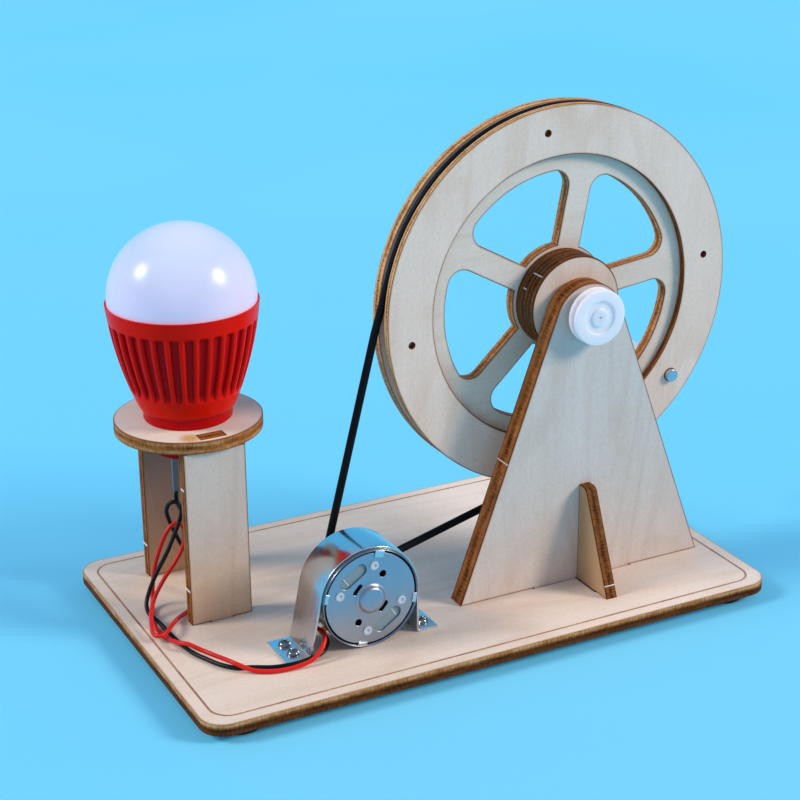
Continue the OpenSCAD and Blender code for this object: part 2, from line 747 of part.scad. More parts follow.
module motor_brushes() {
    color("goldenrod") at_motor() for (s = [-1, 1])
        translate([s * (commutator_r + face_gap + brush_t / 2), plate_back + brush_w / 2, 0])
            cube([brush_t, brush_w, brush_l], center = true);
}

module motor_tags() {
    color("goldenrod") tag_shape(0);
}

module motor_magnet() {
    color("dimgray") at_motor() difference() {
        turned(core_front - magnet_over, core_l + 2 * magnet_over, can_in_r - seat_gap);
        turned(core_front - through, core_l + 2 * through, can_in_r - magnet_t);
    }
}

module bush(y) {
    at_motor() difference() {
        turned(y, bush_l, bush_r);
        turned(y - through, bush_l + 2 * through, shaft_r + run_gap);
    }
}

module motor_bush_front() {
    color("peru") bush(boss_front + boss_wall);
}

module motor_bush_rear() {
    color("peru") bush(bush_rear);
}

// Section of the bracket in the XZ plane, from the motor's axis and the board's top.
module strap_section() {
    turn = 360 + touch_angle(strap_bend, strap_c, strap_mid_r, -1);
    touch = on_circle(strap_c, strap_mid_r, turn);
    half_slope = atan2(touch.y - strap_bend.y, touch.x - strap_bend.x) / 2;
    mitre = strap_t / 2 / cos(half_slope) * [-sin(half_slope), cos(half_slope)];
    left_toe = -strap_reach - left_foot_l;
    polygon(concat([[left_toe, 0], strap_bend - mitre], arc(strap_c, strap_in_r, turn, 0, strap_steps),
        [[strap_in_r, 0], [strap_right, 0], [strap_right, strap_t], [strap_side_x, strap_t]],
        arc(strap_c, strap_side_x, 0, turn, strap_steps), [strap_bend + mitre, [left_toe, strap_t]]));
}

module motor_bracket() {
    color("silver") difference() {
        translate([motor_x, 0, base_top]) upright(strap_front, strap_w) strap_section();
        screw_places() translate([0, 0, -through]) cylinder(h = strap_t + 2 * through, r = screw_r + slot_gap);
    }
}

module bracket_screws() {
    head_z = strap_t + screw_head_h;
    color("gainsboro") screw_places() {
        difference() {
            union() {
                translate([0, 0, strap_t]) cylinder(h = screw_head_h, r = screw_head_r);
                translate([0, 0, screw_tip_gap - screw_depth]) cylinder(h = screw_depth + strap_t, r = screw_r);
            }
            for (a = [0, 90]) rotate([0, 0, recess_angle + a]) translate([0, 0, head_z])
                cube([recess_l, recess_w, 2 * recess_depth], center = true);
        }
    }
}

module motor_shaft() {
    color("gainsboro") at_motor() turned(shaft_front, shaft_back - shaft_front, shaft_r);
}

module pole_arms(w, r0, r1, y, l) {
    for (a = pole_angles) rotate([0, -a, 0]) translate([r0, y, -w / 2]) cube([r1 - r0, l, w]);
}

module pole_bars(w, r0, r1) {
    for (a = pole_angles) rotate(a) translate([r0, -w / 2]) square([r1 - r0, w]);
}

module rotor_core() {
    color("slategray") at_motor() upright(core_front, core_l) difference() {
        union() {
            circle(r = core_hub_r);
            pole_bars(pole_w, 0, core_r - shoe_t / 2);
            intersection() {
                difference() {
                    circle(r = core_r);
                    circle(r = core_r - shoe_t);
                }
                pole_bars(shoe_w, core_hub_r, core_r + through);
            }
        }
        circle(r = shaft_r + seat_gap);
    }
}

module rotor_coils() {
    color("chocolate") at_motor() difference() {
        pole_arms(coil_w, coil_in, coil_out, core_front - coil_end, core_l + 2 * coil_end);
        pole_arms(pole_w, core_hub_r, core_r, core_front, core_l);
    }
}

module commutator() {
    color("peru") at_motor() difference() {
        turned(plate_back + face_gap, commutator_l - face_gap, commutator_r);
        turned(plate_back, commutator_l + through, shaft_r + seat_gap);
    }
}

module motor_pulley() {
    color("whitesmoke") at_motor() difference() {
        union() {
            turned(pulley_y - pulley_w / 2, pulley_w, pulley_floor_r);
            turned(pulley_y - pulley_w / 2, pulley_flange_t, pulley_r);
            turned(pulley_y + pulley_w / 2 - pulley_flange_t, pulley_flange_t, pulley_r);
        }
        turned(pulley_y - pulley_w, 2 * pulley_w, shaft_r + seat_gap);
    }
}

module drive_belt() {
    stations = belt_stations();
    n = len(stations);
    walls = [for (i = [0:n - 1]) for (k = [0:belt_sides - 1]) let (j = (i + 1) % n, q = (k + 1) % belt_sides)
        [i * belt_sides + k, j * belt_sides + k, j * belt_sides + q, i * belt_sides + q]];
    color("#202020") polyhedron(points = flat_list([for (s = stations) belt_ring(s)]), faces = walls,
        convexity = 10);
}

module wire_red() {
    color("red") wire(wire_way(red_way, 0, 1));
}

module wire_black() {
    color("#202020") wire(wire_way(black_way, 1, -1));
}

module wheel_ring(y, thickness) {
    difference() {
        turned(y, thickness, wheel_r);
        turned(y - through, thickness + 2 * through, ring_inner_r);
        around_axle(crank_angle, ring_mid_r) turned(y - through, thickness + 2 * through, crank_pin_r + seat_gap);
    }
}

module wheel_front_ring() {
    color("wheat") at_axle() difference() {
        wheel_ring(front_ring_y, thin_ply);
        for (k = [0:ring_hole_count - 1]) around_axle(spoke_angle + 90 * k, ring_mid_r)
            turned(front_ring_y - through, thin_ply + 2 * through, ring_hole_r);
    }
}

module wheel_back_ring() {
    color("wheat") at_axle() wheel_ring(back_ring_y, ply);
}

module wheel_spoked_disc() {
    color("wheat") at_axle() difference() {
        turned(spoked_front, ply, groove_r);
        turned(spoked_front - through, ply + 2 * through, axle_r + seat_gap);
        around_axle(crank_angle, ring_mid_r)
            turned(spoked_front - through, ply + 2 * through, crank_pin_r + seat_gap);
        for (k = [0:spoke_count - 1]) upright(spoked_front - through, ply + 2 * through)
            rotate(spoke_angle + 360 * (k + 0.5) / spoke_count) polygon(opening_outline());
    }
}

module hub_disc(y, thickness) {
    color("saddlebrown") at_axle() difference() {
        turned(y, thickness, hub_r);
        turned(y - through, thickness + 2 * through, axle_r + seat_gap);
    }
}

module hub_disc_front() {
    hub_disc(hub_front, ply);
}

module hub_disc_middle() {
    hub_disc(hub_front + ply, ply);
}

module hub_disc_rear() {
    hub_disc(hub_front + 2 * ply, thin_ply);
}

module axle() {
    axle_front = support_front - stop_play - stop_w + stop_end;
    color("silver") at_axle() turned(axle_front, back_ring_y + axle_tail - axle_front, axle_r);
}

module axle_stop() {
    stop_back = support_front - stop_play;
    groove_floor_r = stop_r - stop_groove;
    side_w = (stop_w - stop_groove_w) / 2;
    profile = [[axle_r + seat_gap, 0], [stop_r, 0], [stop_r, side_w], [groove_floor_r, side_w],
        [groove_floor_r, stop_w - side_w], [stop_r, stop_w - side_w], [stop_r, stop_w], [stop_recess_r, stop_w],
        [stop_recess_r, stop_w - stop_recess], [stop_sleeve_r, stop_w - stop_recess], [stop_sleeve_r, stop_w],
        [stop_pinhole_r, stop_w], [stop_pinhole_r, stop_w - stop_end], [axle_r + seat_gap, stop_w - stop_end]];
    color("white") at_axle() translate([0, stop_back, 0]) rotate([90, 0, 0]) rotate_extrude() polygon(profile);
}

module crank_pin() {
    pin_front = front_ring_y - crank_proud;
    pin_back = grip_back + face_gap;
    color("silver") at_axle() around_axle(crank_angle, ring_mid_r) {
        turned(pin_front, pin_back - pin_front, crank_pin_r);
        turned(pin_back, pin_flange_t, pin_flange_r);
    }
}

module crank_grip() {
    color("whitesmoke") at_axle() around_axle(crank_angle, ring_mid_r) difference() {
        turned(grip_front, grip_l, grip_r);
        turned(grip_front - through, grip_l + 2 * through, crank_pin_r + run_gap);
    }
}

base_board();
rubber_feet();
support_plate();
brace_fin();
post_front();
post_rear();
lamp_disc();
lamp_body();
lamp_dome();
lamp_board();
lamp_chips();
lamp_legs();
motor_can();
motor_cap();
motor_rivets();
motor_brush_plate();
motor_brushes();
motor_tags();
motor_magnet();
motor_bush_front();
motor_bush_rear();
motor_bracket();
bracket_screws();
motor_shaft();
rotor_core();
rotor_coils();
commutator();
motor_pulley();
drive_belt();
wire_red();
wire_black();
wheel_front_ring();
wheel_spoked_disc();
wheel_back_ring();
hub_disc_front();
hub_disc_middle();
hub_disc_rear();
axle();
axle_stop();
crank_pin();
crank_grip();
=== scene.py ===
"""Looks of a hand crank generator: cut plywood, steel motor, fluted lamp, belt and wires."""

import math

import bmesh
import bpy
import numpy as np
from bpy.props import FloatProperty, FloatVectorProperty, IntProperty, PointerProperty
from mathutils import Matrix, Vector
from mathutils.geometry import tessellate_polygon


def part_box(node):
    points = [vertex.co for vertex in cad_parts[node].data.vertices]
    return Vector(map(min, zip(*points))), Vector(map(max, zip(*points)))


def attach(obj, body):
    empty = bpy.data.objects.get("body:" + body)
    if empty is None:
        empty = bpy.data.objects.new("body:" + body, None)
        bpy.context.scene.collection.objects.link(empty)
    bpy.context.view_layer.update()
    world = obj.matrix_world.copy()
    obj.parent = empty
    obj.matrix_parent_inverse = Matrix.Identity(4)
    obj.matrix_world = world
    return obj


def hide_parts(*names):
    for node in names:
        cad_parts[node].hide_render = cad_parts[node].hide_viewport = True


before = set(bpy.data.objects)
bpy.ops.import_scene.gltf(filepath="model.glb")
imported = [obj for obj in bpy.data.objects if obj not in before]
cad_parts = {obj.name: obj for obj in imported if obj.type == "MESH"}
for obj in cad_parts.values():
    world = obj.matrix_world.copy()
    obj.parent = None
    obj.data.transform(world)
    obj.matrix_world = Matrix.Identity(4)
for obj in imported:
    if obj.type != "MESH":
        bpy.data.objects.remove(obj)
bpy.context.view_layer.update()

bl_info = {
    "name": "Hand Crank Generator Looks",
    "version": (1, 0, 0),
    "blender": (4, 5, 0),
    "location": "3D View > Sidebar > Generator",
    "description": "Builds the looks of a wooden hand crank generator around its packed solids",
    "category": "Object",
}

MM = 0.001
X = np.array((1.0, 0.0, 0.0))
Y = np.array((0.0, 1.0, 0.0))
Z = np.array((0.0, 0.0, 1.0))
FULL_TURN = 2 * math.pi
QUARTER_TURN = math.pi / 2
SHARP_ANGLE = math.radians(32)
WELD = 1e-6
GLOW_REACH = 2.5 * MM


def span(node):
    """Lowest and highest corner of a CAD node, as arrays."""
    low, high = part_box(node)
    return np.array(low), np.array(high)


def middle(node):
    """Middle of a CAD node's box."""
    return sum(span(node)) / 2


def half_width(node):
    """Half of a CAD node's extent along X, which is the radius of a round one."""
    low, high = span(node)
    return (high[0] - low[0]) / 2


def on_axis(centre, y):
    """Point at a depth on the line along Y through a centre."""
    return np.array((centre[0], y, centre[2]))


BOARD_LOW, BOARD_HIGH = span("base_board")
BOARD_TOP = BOARD_HIGH[2]
PLY = BOARD_TOP - BOARD_LOW[2]
AXLE = middle("wheel_back_ring")
PIN = middle("crank_pin")
MOTOR = middle("motor_can")
MOTOR_FRONT = span("motor_can")[0][1]
MOTOR_BACK = span("motor_can")[1][1]
LAMP = middle("lamp_dome")
DISC_TOP = span("lamp_disc")[1][2]

# Plays between pieces, and sizes that two pieces share

SEAT = 0.02 * MM
RUN_PLAY = 0.05 * MM
SLOT_PLAY = 0.1 * MM
BELT_PLAY = 0.3 * MM
SUPPORT_TAB = 28 * MM
POST_TAB = 6 * MM
FIN_TAB = 8.6 * MM
FIN_TIP_R = 1.8 * MM
PULLEY_FLOOR_R = 2.45 * MM
CAP_SUNK = 0.4 * MM
VENT_R = 7.7 * MM
VENT_A = math.radians(124)


def linear(code):
    """Linear colour of a six digit screen colour code."""
    part = np.array([int(code[i:i + 2], 16) / 255 for i in (0, 2, 4)])
    return tuple(np.where(part > 0.04045, ((part + 0.055) / 1.055) ** 2.4, part / 12.92))


def colour(name, description, code):
    """Colour property with a screen colour as its default."""
    return FloatVectorProperty(name=name, description=description, subtype="COLOR", size=3,
                               min=0.0, max=1.0, default=linear(code))


def length(name, description, default):
    """Length property in metres."""
    return FloatProperty(name=name, description=description, unit="LENGTH", default=default,
                         min=0.0, precision=5)


def share(name, description, default):
    """Property from 0 to 1."""
    return FloatProperty(name=name, description=description, subtype="FACTOR", default=default,
                         min=0.0, max=1.0)


def turn_angle(name, description, degrees):
    """Angle property with a default in degrees."""
    return FloatProperty(name=name, description=description, subtype="ANGLE", default=math.radians(degrees))


def light_strength(name, description, default):
    """Strength property of a light."""
    return FloatProperty(name=name, description=description, default=default, min=0.0)


def light_direction(name, description, default):
    """Direction property of a light."""
    return FloatVectorProperty(name=name, description=description, subtype="DIRECTION", default=default)


class PlyLook(bpy.types.PropertyGroup):
    """Finish of the cut plywood."""

    face: colour("Face", "Colour of the pale faces", "E9D6C6")
    grain: colour("Grain", "Colour of the grain's darker streaks", "D8BFA8")
    tan: colour("Tan", "Lightest tan of a burnt edge", "DDB280")
    brown: colour("Brown", "Middle brown of a burnt edge", "A8622E")
    char: colour("Char", "Darkest brown of a burnt edge", "2B1007")
    singe: length("Singe", "Width of the browned band along a cut", 0.55 * MM)
    round_off: length("Round-off", "Width of the worn corner of a cut", 0.12 * MM)


class WheelShape(bpy.types.PropertyGroup):
    """Sizes of the wheel and the plate that carries it."""

    ring_w: length("Ring width", "Width of the two outer rings", 12 * MM)
    ledge: length("Rim ledge", "Width of the spoked disc's rim inside the rings", 4 * MM)
    spoke_w: length("Spoke width", "Width of a spoke", 6.4 * MM)
    corner_r: length("Corner radius", "Radius of the openings' outer corners", 3.8 * MM)
    boss_r: length("Boss radius", "Radius of the spoked disc's boss", 13 * MM)
    hole_r: length("Hole radius", "Radius of the small holes in the front ring", 0.8 * MM)
    axle_r: length("Axle radius", "Radius of the axle", 1 * MM)
    pin_r: length("Crank pin radius", "Radius of the crank pin", 1.6 * MM)
    top_r: length("Support top radius", "Radius of the support plate's rounded top", 9.2 * MM)
    spokes: IntProperty(name="Spokes", description="Number of spokes", default=5, min=3, max=9)
    turn: turn_angle("Turn", "Direction of the first spoke", 7)


class MotorLook(bpy.types.PropertyGroup):
    """Finish of the motor and its bracket."""

    can: colour("Can", "Colour of the plated can", "8C949E")
    cap: colour("End cap", "Colour of the satin end cap", "A9B4C2")
    strap: colour("Strap", "Colour of the bracket's bright strip", "D8D9DB")
    moulding: colour("Moulding", "Colour of the brush plate's raised pads", "87979A")
    peg: colour("Pegs", "Colour of the pale pegs that hold the end cap", "C6CCD3")
    strap_t: length("Strap thickness", "Thickness of the bracket's strap", 0.5 * MM)
    bend_r: length("Bend radius", "Radius of the strap's bends", 0.55 * MM)


class LampLook(bpy.types.PropertyGroup):
    """Shape and finish of the lamp."""

    body: colour("Body", "Colour of the red plastic", "F01505")
    dome: colour("Dome", "Colour of the frosted dome", "DDE4FE")
    flutes: IntProperty(name="Flutes", description="Number of flutes", default=32, min=8, max=64)
    depth: length("Flute depth", "Depth of a flute", 0.95 * MM)
    width: share("Flute width", "Share of a flute in its pitch", 0.5)
    bulge: length("Bulge", "Bulge of the body's side", 1 * MM)


class CordLook(bpy.types.PropertyGroup):
    """Finish of the belt and the wires."""

    red: colour("Red", "Colour of the red wire", "E02014")
    black: colour("Black", "Colour of the black wire", "0B0B0C")
    rubber: colour("Rubber", "Colour of the belt", "0C0C0E")
    wire_d: length("Wire diameter", "Diameter of a wire", 1.05 * MM)
    belt_d: length("Belt diameter", "Diameter of the belt", 1.9 * MM)


class StageLook(bpy.types.PropertyGroup):
    """Backdrop, light and camera."""

    backdrop: colour("Backdrop", "Colour of the backdrop's paper", "75D4F8")
    ambient: colour("Ambient", "Colour of the light from all sides", "98AEC8")
    warmth: colour("Lights", "Colour of the two lights, at most white", "FFF3E4")
    key: light_strength("Right light", "Strength of the light from the right", 2.0)
    key_from: light_direction("Right light from", "Direction of the right light", (0.69, -0.53, 0.50))
    side: light_strength("Left light", "Strength of the light from the left", 1.75)
    side_from: light_direction("Left light from", "Direction of the left light", (-0.78, 0.23, 0.585))
    light_size: turn_angle("Light size", "Angle that each light fills", 18)
    place: FloatVectorProperty(name="Camera", description="Place of the camera", subtype="XYZ",
                               unit="LENGTH", default=(-0.20001, -0.37387, 0.21750))
    yaw: turn_angle("Yaw", "Turn of the camera to the right", 27.1)
    pitch: turn_angle("Pitch", "Tilt of the camera upwards", -21.46)
    roll: turn_angle("Roll", "Roll of the camera", -0.52)
    lens: FloatProperty(name="Lens", description="Focal length", subtype="DISTANCE_CAMERA",
                        default=84.39)


# Shapes


def circle(radius, steps, centre=(0.0, 0.0)):
    """Points at equal angles round a centre."""
    a = np.linspace(0, FULL_TURN, steps, endpoint=False)
    return np.column_stack((np.cos(a), np.sin(a))) * radius + centre


def arc(centre, radius, first, last, steps):
    """Points round a centre from one angle to another, both included."""
    a = np.linspace(first, last, steps + 1)
    return np.column_stack((np.cos(a), np.sin(a))) * radius + centre


def rectangle(centre, width, height):
    """Four corners round a centre."""
    return np.array(((-1, -1), (1, -1), (1, 1), (-1, 1))) * (width / 2, height / 2) + centre


def rounded_rectangle(width, height, radius, steps=12):
    """A rectangle round the origin whose corners are quarter circles."""
    corners = np.array(((1, 1), (-1, 1), (-1, -1), (1, -1))) * (width / 2 - radius, height / 2 - radius)
    return np.vstack([arc(corner, radius, k * QUARTER_TURN, (k + 1) * QUARTER_TURN, steps)
                      for k, corner in enumerate(corners)])


def touch_angle(point, centre, radius, side):
    """Direction from a circle's centre to where the line from a point touches it."""
    away = np.subtract(point, centre)
    return math.atan2(away[1], away[0]) + side * math.acos(radius / math.hypot(*away))


def softened(points, radius, steps=4, closed=False):
    """Corners replaced by a parabola that starts and ends radius away, or half way to the next corner."""
    points = np.asarray(points, float)
    before = np.roll(points, 1, axis=0) - points
    after = np.roll(points, -1, axis=0) - points
    reach_before = np.linalg.norm(before, axis=1, keepdims=True)
    reach_after = np.linalg.norm(after, axis=1, keepdims=True)
    start = points + before * np.minimum(radius / reach_before, 0.5)
    end = points + after * np.minimum(radius / reach_after, 0.5)
    t = np.linspace(0, 1, steps + 1)[None, :, None]
    curve = (1 - t) ** 2 * start[:, None] + 2 * t * (1 - t) * points[:, None] + t ** 2 * end[:, None]
    if closed:
        return curve.reshape(-1, points.shape[1])
    inner = curve[1:-1].reshape(-1, points.shape[1])
    return np.vstack((points[:1], inner, points[-1:]))


def smooth_line(points, per_span):
    """Curve through all points whose slope at each is half the step between its neighbours."""
    points = np.asarray(points, float)
    slope = np.gradient(points, axis=0)
    t = np.linspace(0, 1, per_span, endpoint=False)[None, :, None]
    a, b = points[:-1, None], points[1:, None]
    m, n = slope[:-1, None], slope[1:, None]
    curve = ((2 * t ** 3 - 3 * t ** 2 + 1) * a + (t ** 3 - 2 * t ** 2 + t) * m
             + (3 * t ** 2 - 2 * t ** 3) * b + (t ** 3 - t ** 2) * n)
    return np.vstack((curve.reshape(-1, points.shape[1]), points[-1:]))


def grid_quads(rows, columns, close_rows=False, close_columns=False):
    """Corner numbers of the quads of a grid that is stored row by row."""
    i = np.arange(rows if close_rows else rows - 1)[:, None]
    j = np.arange(columns if close_columns else columns - 1)[None, :]
    i_next = (i + 1) % rows
    j_next = (j + 1) % columns
    corners = (i * columns + j, i * columns + j_next, i_next * columns + j_next, i_next * columns + j)
    return np.stack(np.broadcast_arrays(*corners), axis=-1).reshape(-1, 4)


def new_piece(name, points, faces, finish, body, stands_for=(), corner_uv=None, burn_and_shade=None):
    """Mesh object at the origin, with poles welded, smooth between faces that meet at a small angle."""
    mesh = bpy.data.meshes.new(name)
    mesh.from_pydata(np.asarray(points).tolist(), [], [list(f) for f in faces])
    if corner_uv is not None:
        layer = mesh.uv_layers.new(name="edge_map")
        layer.uv.foreach_set("vector", np.asarray(corner_uv, np.float32).ravel())
    if burn_and_shade is not None:
        layer = mesh.attributes.new("burn_and_shade", "FLOAT", "POINT")
        layer.data.foreach_set("value", np.asarray(burn_and_shade, np.float32))
    shape = bmesh.new()
    shape.from_mesh(mesh)
    bmesh.ops.remove_doubles(shape, verts=shape.verts, dist=WELD)
    shape.to_mesh(mesh)
    shape.free()
    mesh.polygons.foreach_set("use_smooth", np.ones(len(mesh.polygons), bool))
    mesh.set_sharp_from_angle(angle=SHARP_ANGLE)
    mesh.materials.append(finish)
    piece = bpy.data.objects.new(name, mesh)
    bpy.context.scene.collection.objects.link(piece)
    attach(piece, body)
    if stands_for:
        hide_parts(*stands_for)
    return piece


def turned(profile, centre, axis, steps, closed=False):
    """Points and quads of a profile of radius and height turned about an axis.

    A point is the centre plus its height along the axis plus its radius in a direction that goes once round.
    """
    profile = np.asarray(profile, float)
    axis = np.asarray(axis, float)
    first = X if abs(axis[0]) < 0.5 else Z
    second = np.cross(axis, first)
    a = np.linspace(0, FULL_TURN, steps, endpoint=False)
    round_it = np.outer(np.cos(a), first) + np.outer(np.sin(a), second)
    points = centre + profile[:, 0, None, None] * round_it[None] + profile[:, 1, None, None] * axis
    return points.reshape(-1, 3), grid_quads(len(profile), steps, closed, True)


def joined(parts):
    """Points and faces of several shapes as one."""
    points = np.vstack([part_points for part_points, _ in parts])
    starts = np.cumsum([0] + [len(part_points) for part_points, _ in parts])
    faces = [(np.asarray(face) + start).tolist() for (_, part_faces), start in zip(parts, starts)
             for face in part_faces]
    return points, faces


def facing(outline, hole):
    """The outline turned anticlockwise, or clockwise for a hole."""
    x, y = outline.T
    area = np.sum(x * np.roll(y, -1) - y * np.roll(x, -1))
    return outline[::-1] if (area < 0) != hole else outline


def mitres(outline):
    """Directions away from the sheet at each corner, as long as a mitre needs."""
    step = np.roll(outline, -1, axis=0) - outline
    out = np.column_stack((step[:, 1], -step[:, 0])) / np.linalg.norm(step, axis=1, keepdims=True)
    before = np.roll(out, 1, axis=0)
    return (out + before) / (1 + np.sum(out * before, axis=1, keepdims=True))


def sheet_points(flat, depth, place):
    """Points of a sheet: a place on its front face plus a depth behind it."""
    origin, across, up = place
    inwards = -np.cross(across, up)
    return origin + flat[:, :1] * across + flat[:, 1:] * up + np.reshape(depth, (-1, 1)) * inwards


def cut_sheet(outlines, thickness, place, round_off, singe):
    """Points, faces, edge map and burn_and_shade mark of a sheet cut along outlines.

    The section of a cut edge is carried along each outline: in over the front face, round the corner, through
    the sheet and in over the back face. Both faces are filled between the innermost lines. The edge map runs
    along the cut and from front (0) to back (1); burn_and_shade is 1 on the cut and fades out over the singed
    band, which is narrower round small holes. On a cut sheet this mark is char only.
    """
    depth = np.array((0, 0, round_off, thickness - round_off, thickness, thickness))
    heat = np.array((0, 0.9, 1, 1, 0.9, 0))
    rows = len(depth)
    points, faces, maps, burn_and_shade, rims, front, back = [], [], [], [], [], [], []
    count = 0
    for number, outline in enumerate(outlines):
        line = facing(np.asarray(outline, float), number > 0)
        n = len(line)
        band = min(singe, np.ptp(line, axis=0).min() / 10)
        inset = np.array((band, round_off, 0, 0, round_off, band))
        flat = line[None] - inset[:, None, None] * mitres(line)[None]
        points.append(sheet_points(flat.reshape(-1, 2), np.repeat(depth, n), place))
        faces.append(grid_quads(rows, n, False, True)[:, ::-1] + count)
        steps = np.linalg.norm(np.roll(line, -1, axis=0) - line, axis=1)
        along = np.concatenate(([0], np.cumsum(steps)))
        i, j = np.divmod(np.arange((rows - 1) * n), n)
        corner_i = np.stack((i + 1, i + 1, i, i), axis=-1)
        corner_j = np.stack((j, j + 1, j + 1, j), axis=-1)
        maps.append(np.stack((along[corner_j], depth[corner_i] / thickness), axis=-1).reshape(-1, 2))
        burn_and_shade.append(np.repeat(heat, n))
        rims.append(flat[0])
        front.append(np.arange(n) + count)
        back.append(np.arange(n) + count + (rows - 1) * n)
        count += rows * n
    fill = np.array(tessellate_polygon([[Vector((x, y, 0)) for x, y in rim] for rim in rims]))
    a, b, c = np.moveaxis(np.vstack(rims)[fill], 1, 0)
    turn = (b[:, 0] - a[:, 0]) * (c[:, 1] - a[:, 1]) - (b[:, 1] - a[:, 1]) * (c[:, 0] - a[:, 0])
    fill[turn < 0] = fill[turn < 0][:, ::-1]
    caps = [np.concatenate(front)[fill], np.concatenate(back)[fill][:, ::-1]]
    every = [row for block in faces + caps for row in block.tolist()]
    corner_uv = np.vstack(maps + [np.zeros((2 * fill.size, 2))])
    return np.vstack(points), every, corner_uv, np.concatenate(burn_and_shade)


def plywood_piece(name, outlines, thickness, place, finish, body, worn=1.0):
    """Cut plywood sheet that stands for the CAD node of the same name; worn widens its corners."""
    look = bpy.context.scene.generator_ply
    points, faces, corner_uv, burn_and_shade = cut_sheet(outlines, thickness, place, worn * look.round_off, look.singe)
    piece = new_piece(name + "_cut", points, faces, finish, body, (name,), corner_uv, burn_and_shade)
    return piece


def upright(x, y, z):
    """Place of a sheet that stands in the XZ plane and faces -Y."""
    return np.array((x, y, z)), X, Z


def lying(x, y, z):
    """Place of a sheet that lies flat and faces up."""
    return np.array((x, y, z)), X, Y


# Finishes


def new_finish(name):
    """Material with its node tree and shader."""
    made = bpy.data.materials.new(name)
    made.use_nodes = True
    return made, made.node_tree, made.node_tree.nodes["Principled BSDF"]


def feed(tree, node, inputs):
    """Gives a node its inputs, each a link or a constant."""
    for key, value in inputs.items():
        if isinstance(value, bpy.types.NodeSocket):
            tree.links.new(value, node.inputs[key])
        else:
            node.inputs[key].default_value = value


def put(tree, kind, inputs=None, **settings):
    """Adds a node with its settings and inputs."""
    node = tree.nodes.new(kind)
    for key, value in settings.items():
        setattr(node, key, value)
    feed(tree, node, inputs or {})
    return node


def rgba(value):
    """Colour with full cover; a socket stays as it is."""
    return value if isinstance(value, bpy.types.NodeSocket) else (*value[:3], 1.0)


def mixed(tree, factor, first, second, blend="MIX"):
    """Colour between two colours, each a socket or a constant."""
    inputs = {0: factor, 6: rgba(first), 7: rgba(second)}
    return put(tree, "ShaderNodeMix", inputs, data_type="RGBA", blend_type=blend).outputs[2]


def noise(tree, space, scale, detail=3.0, roughness=0.55, offset=(0, 0, 0)):
    """Noise from 0 to 1 whose grain has the given scale along each axis."""
    mapping = put(tree, "ShaderNodeMapping", {"Vector": space, "Scale": scale, "Location": offset})
    inputs = {"Vector": mapping.outputs[0], "Scale": 1.0, "Detail": detail, "Roughness": roughness}
    return put(tree, "ShaderNodeTexNoise", inputs).outputs["Fac"]


def ranged(tree, value, low, high, to_low=0.0, to_high=1.0):
    """Value moved smoothly from one range to another."""
    inputs = {"Value": value, "From Min": low, "From Max": high, "To Min": to_low, "To Max": to_high}
    return put(tree, "ShaderNodeMapRange", inputs, interpolation_type="SMOOTHSTEP").outputs[0]


def maths(tree, operation, first, second=0.0):
    """Result of an operation on one or two values, each a socket or a constant."""
    return put(tree, "ShaderNodeMath", {0: first, 1: second}, operation=operation).outputs[0]


def object_space(tree):
    """Coordinates of the piece's own frame, in metres."""
    return put(tree, "ShaderNodeTexCoord").outputs["Object"]


def coordinate(tree, space, axis):
    """One of a place's coordinates."""
    return put(tree, "ShaderNodeSeparateXYZ", {0: space}).outputs[axis]


def distance(tree, space, point):
    """Distance of a place from a point."""
    inputs = {0: space, 1: tuple(point)}
    return put(tree, "ShaderNodeVectorMath", inputs, operation="DISTANCE").outputs["Value"]


def burnt(tree):
    """How much the mesh is marked by burn_and_shade, from 0 to 1: char on cut plywood, painted shade on the
    lamp body and dome.
    """
    return put(tree, "ShaderNodeAttribute", attribute_name="burn_and_shade").outputs["Fac"]


def bump(tree, shader, height, reach, amount):
    """Surface relief from a height that reaches so far, in metres."""
    node = put(tree, "ShaderNodeBump", {"Height": height, "Distance": reach, "Strength": amount})
    tree.links.new(node.outputs[0], shader.inputs["Normal"])


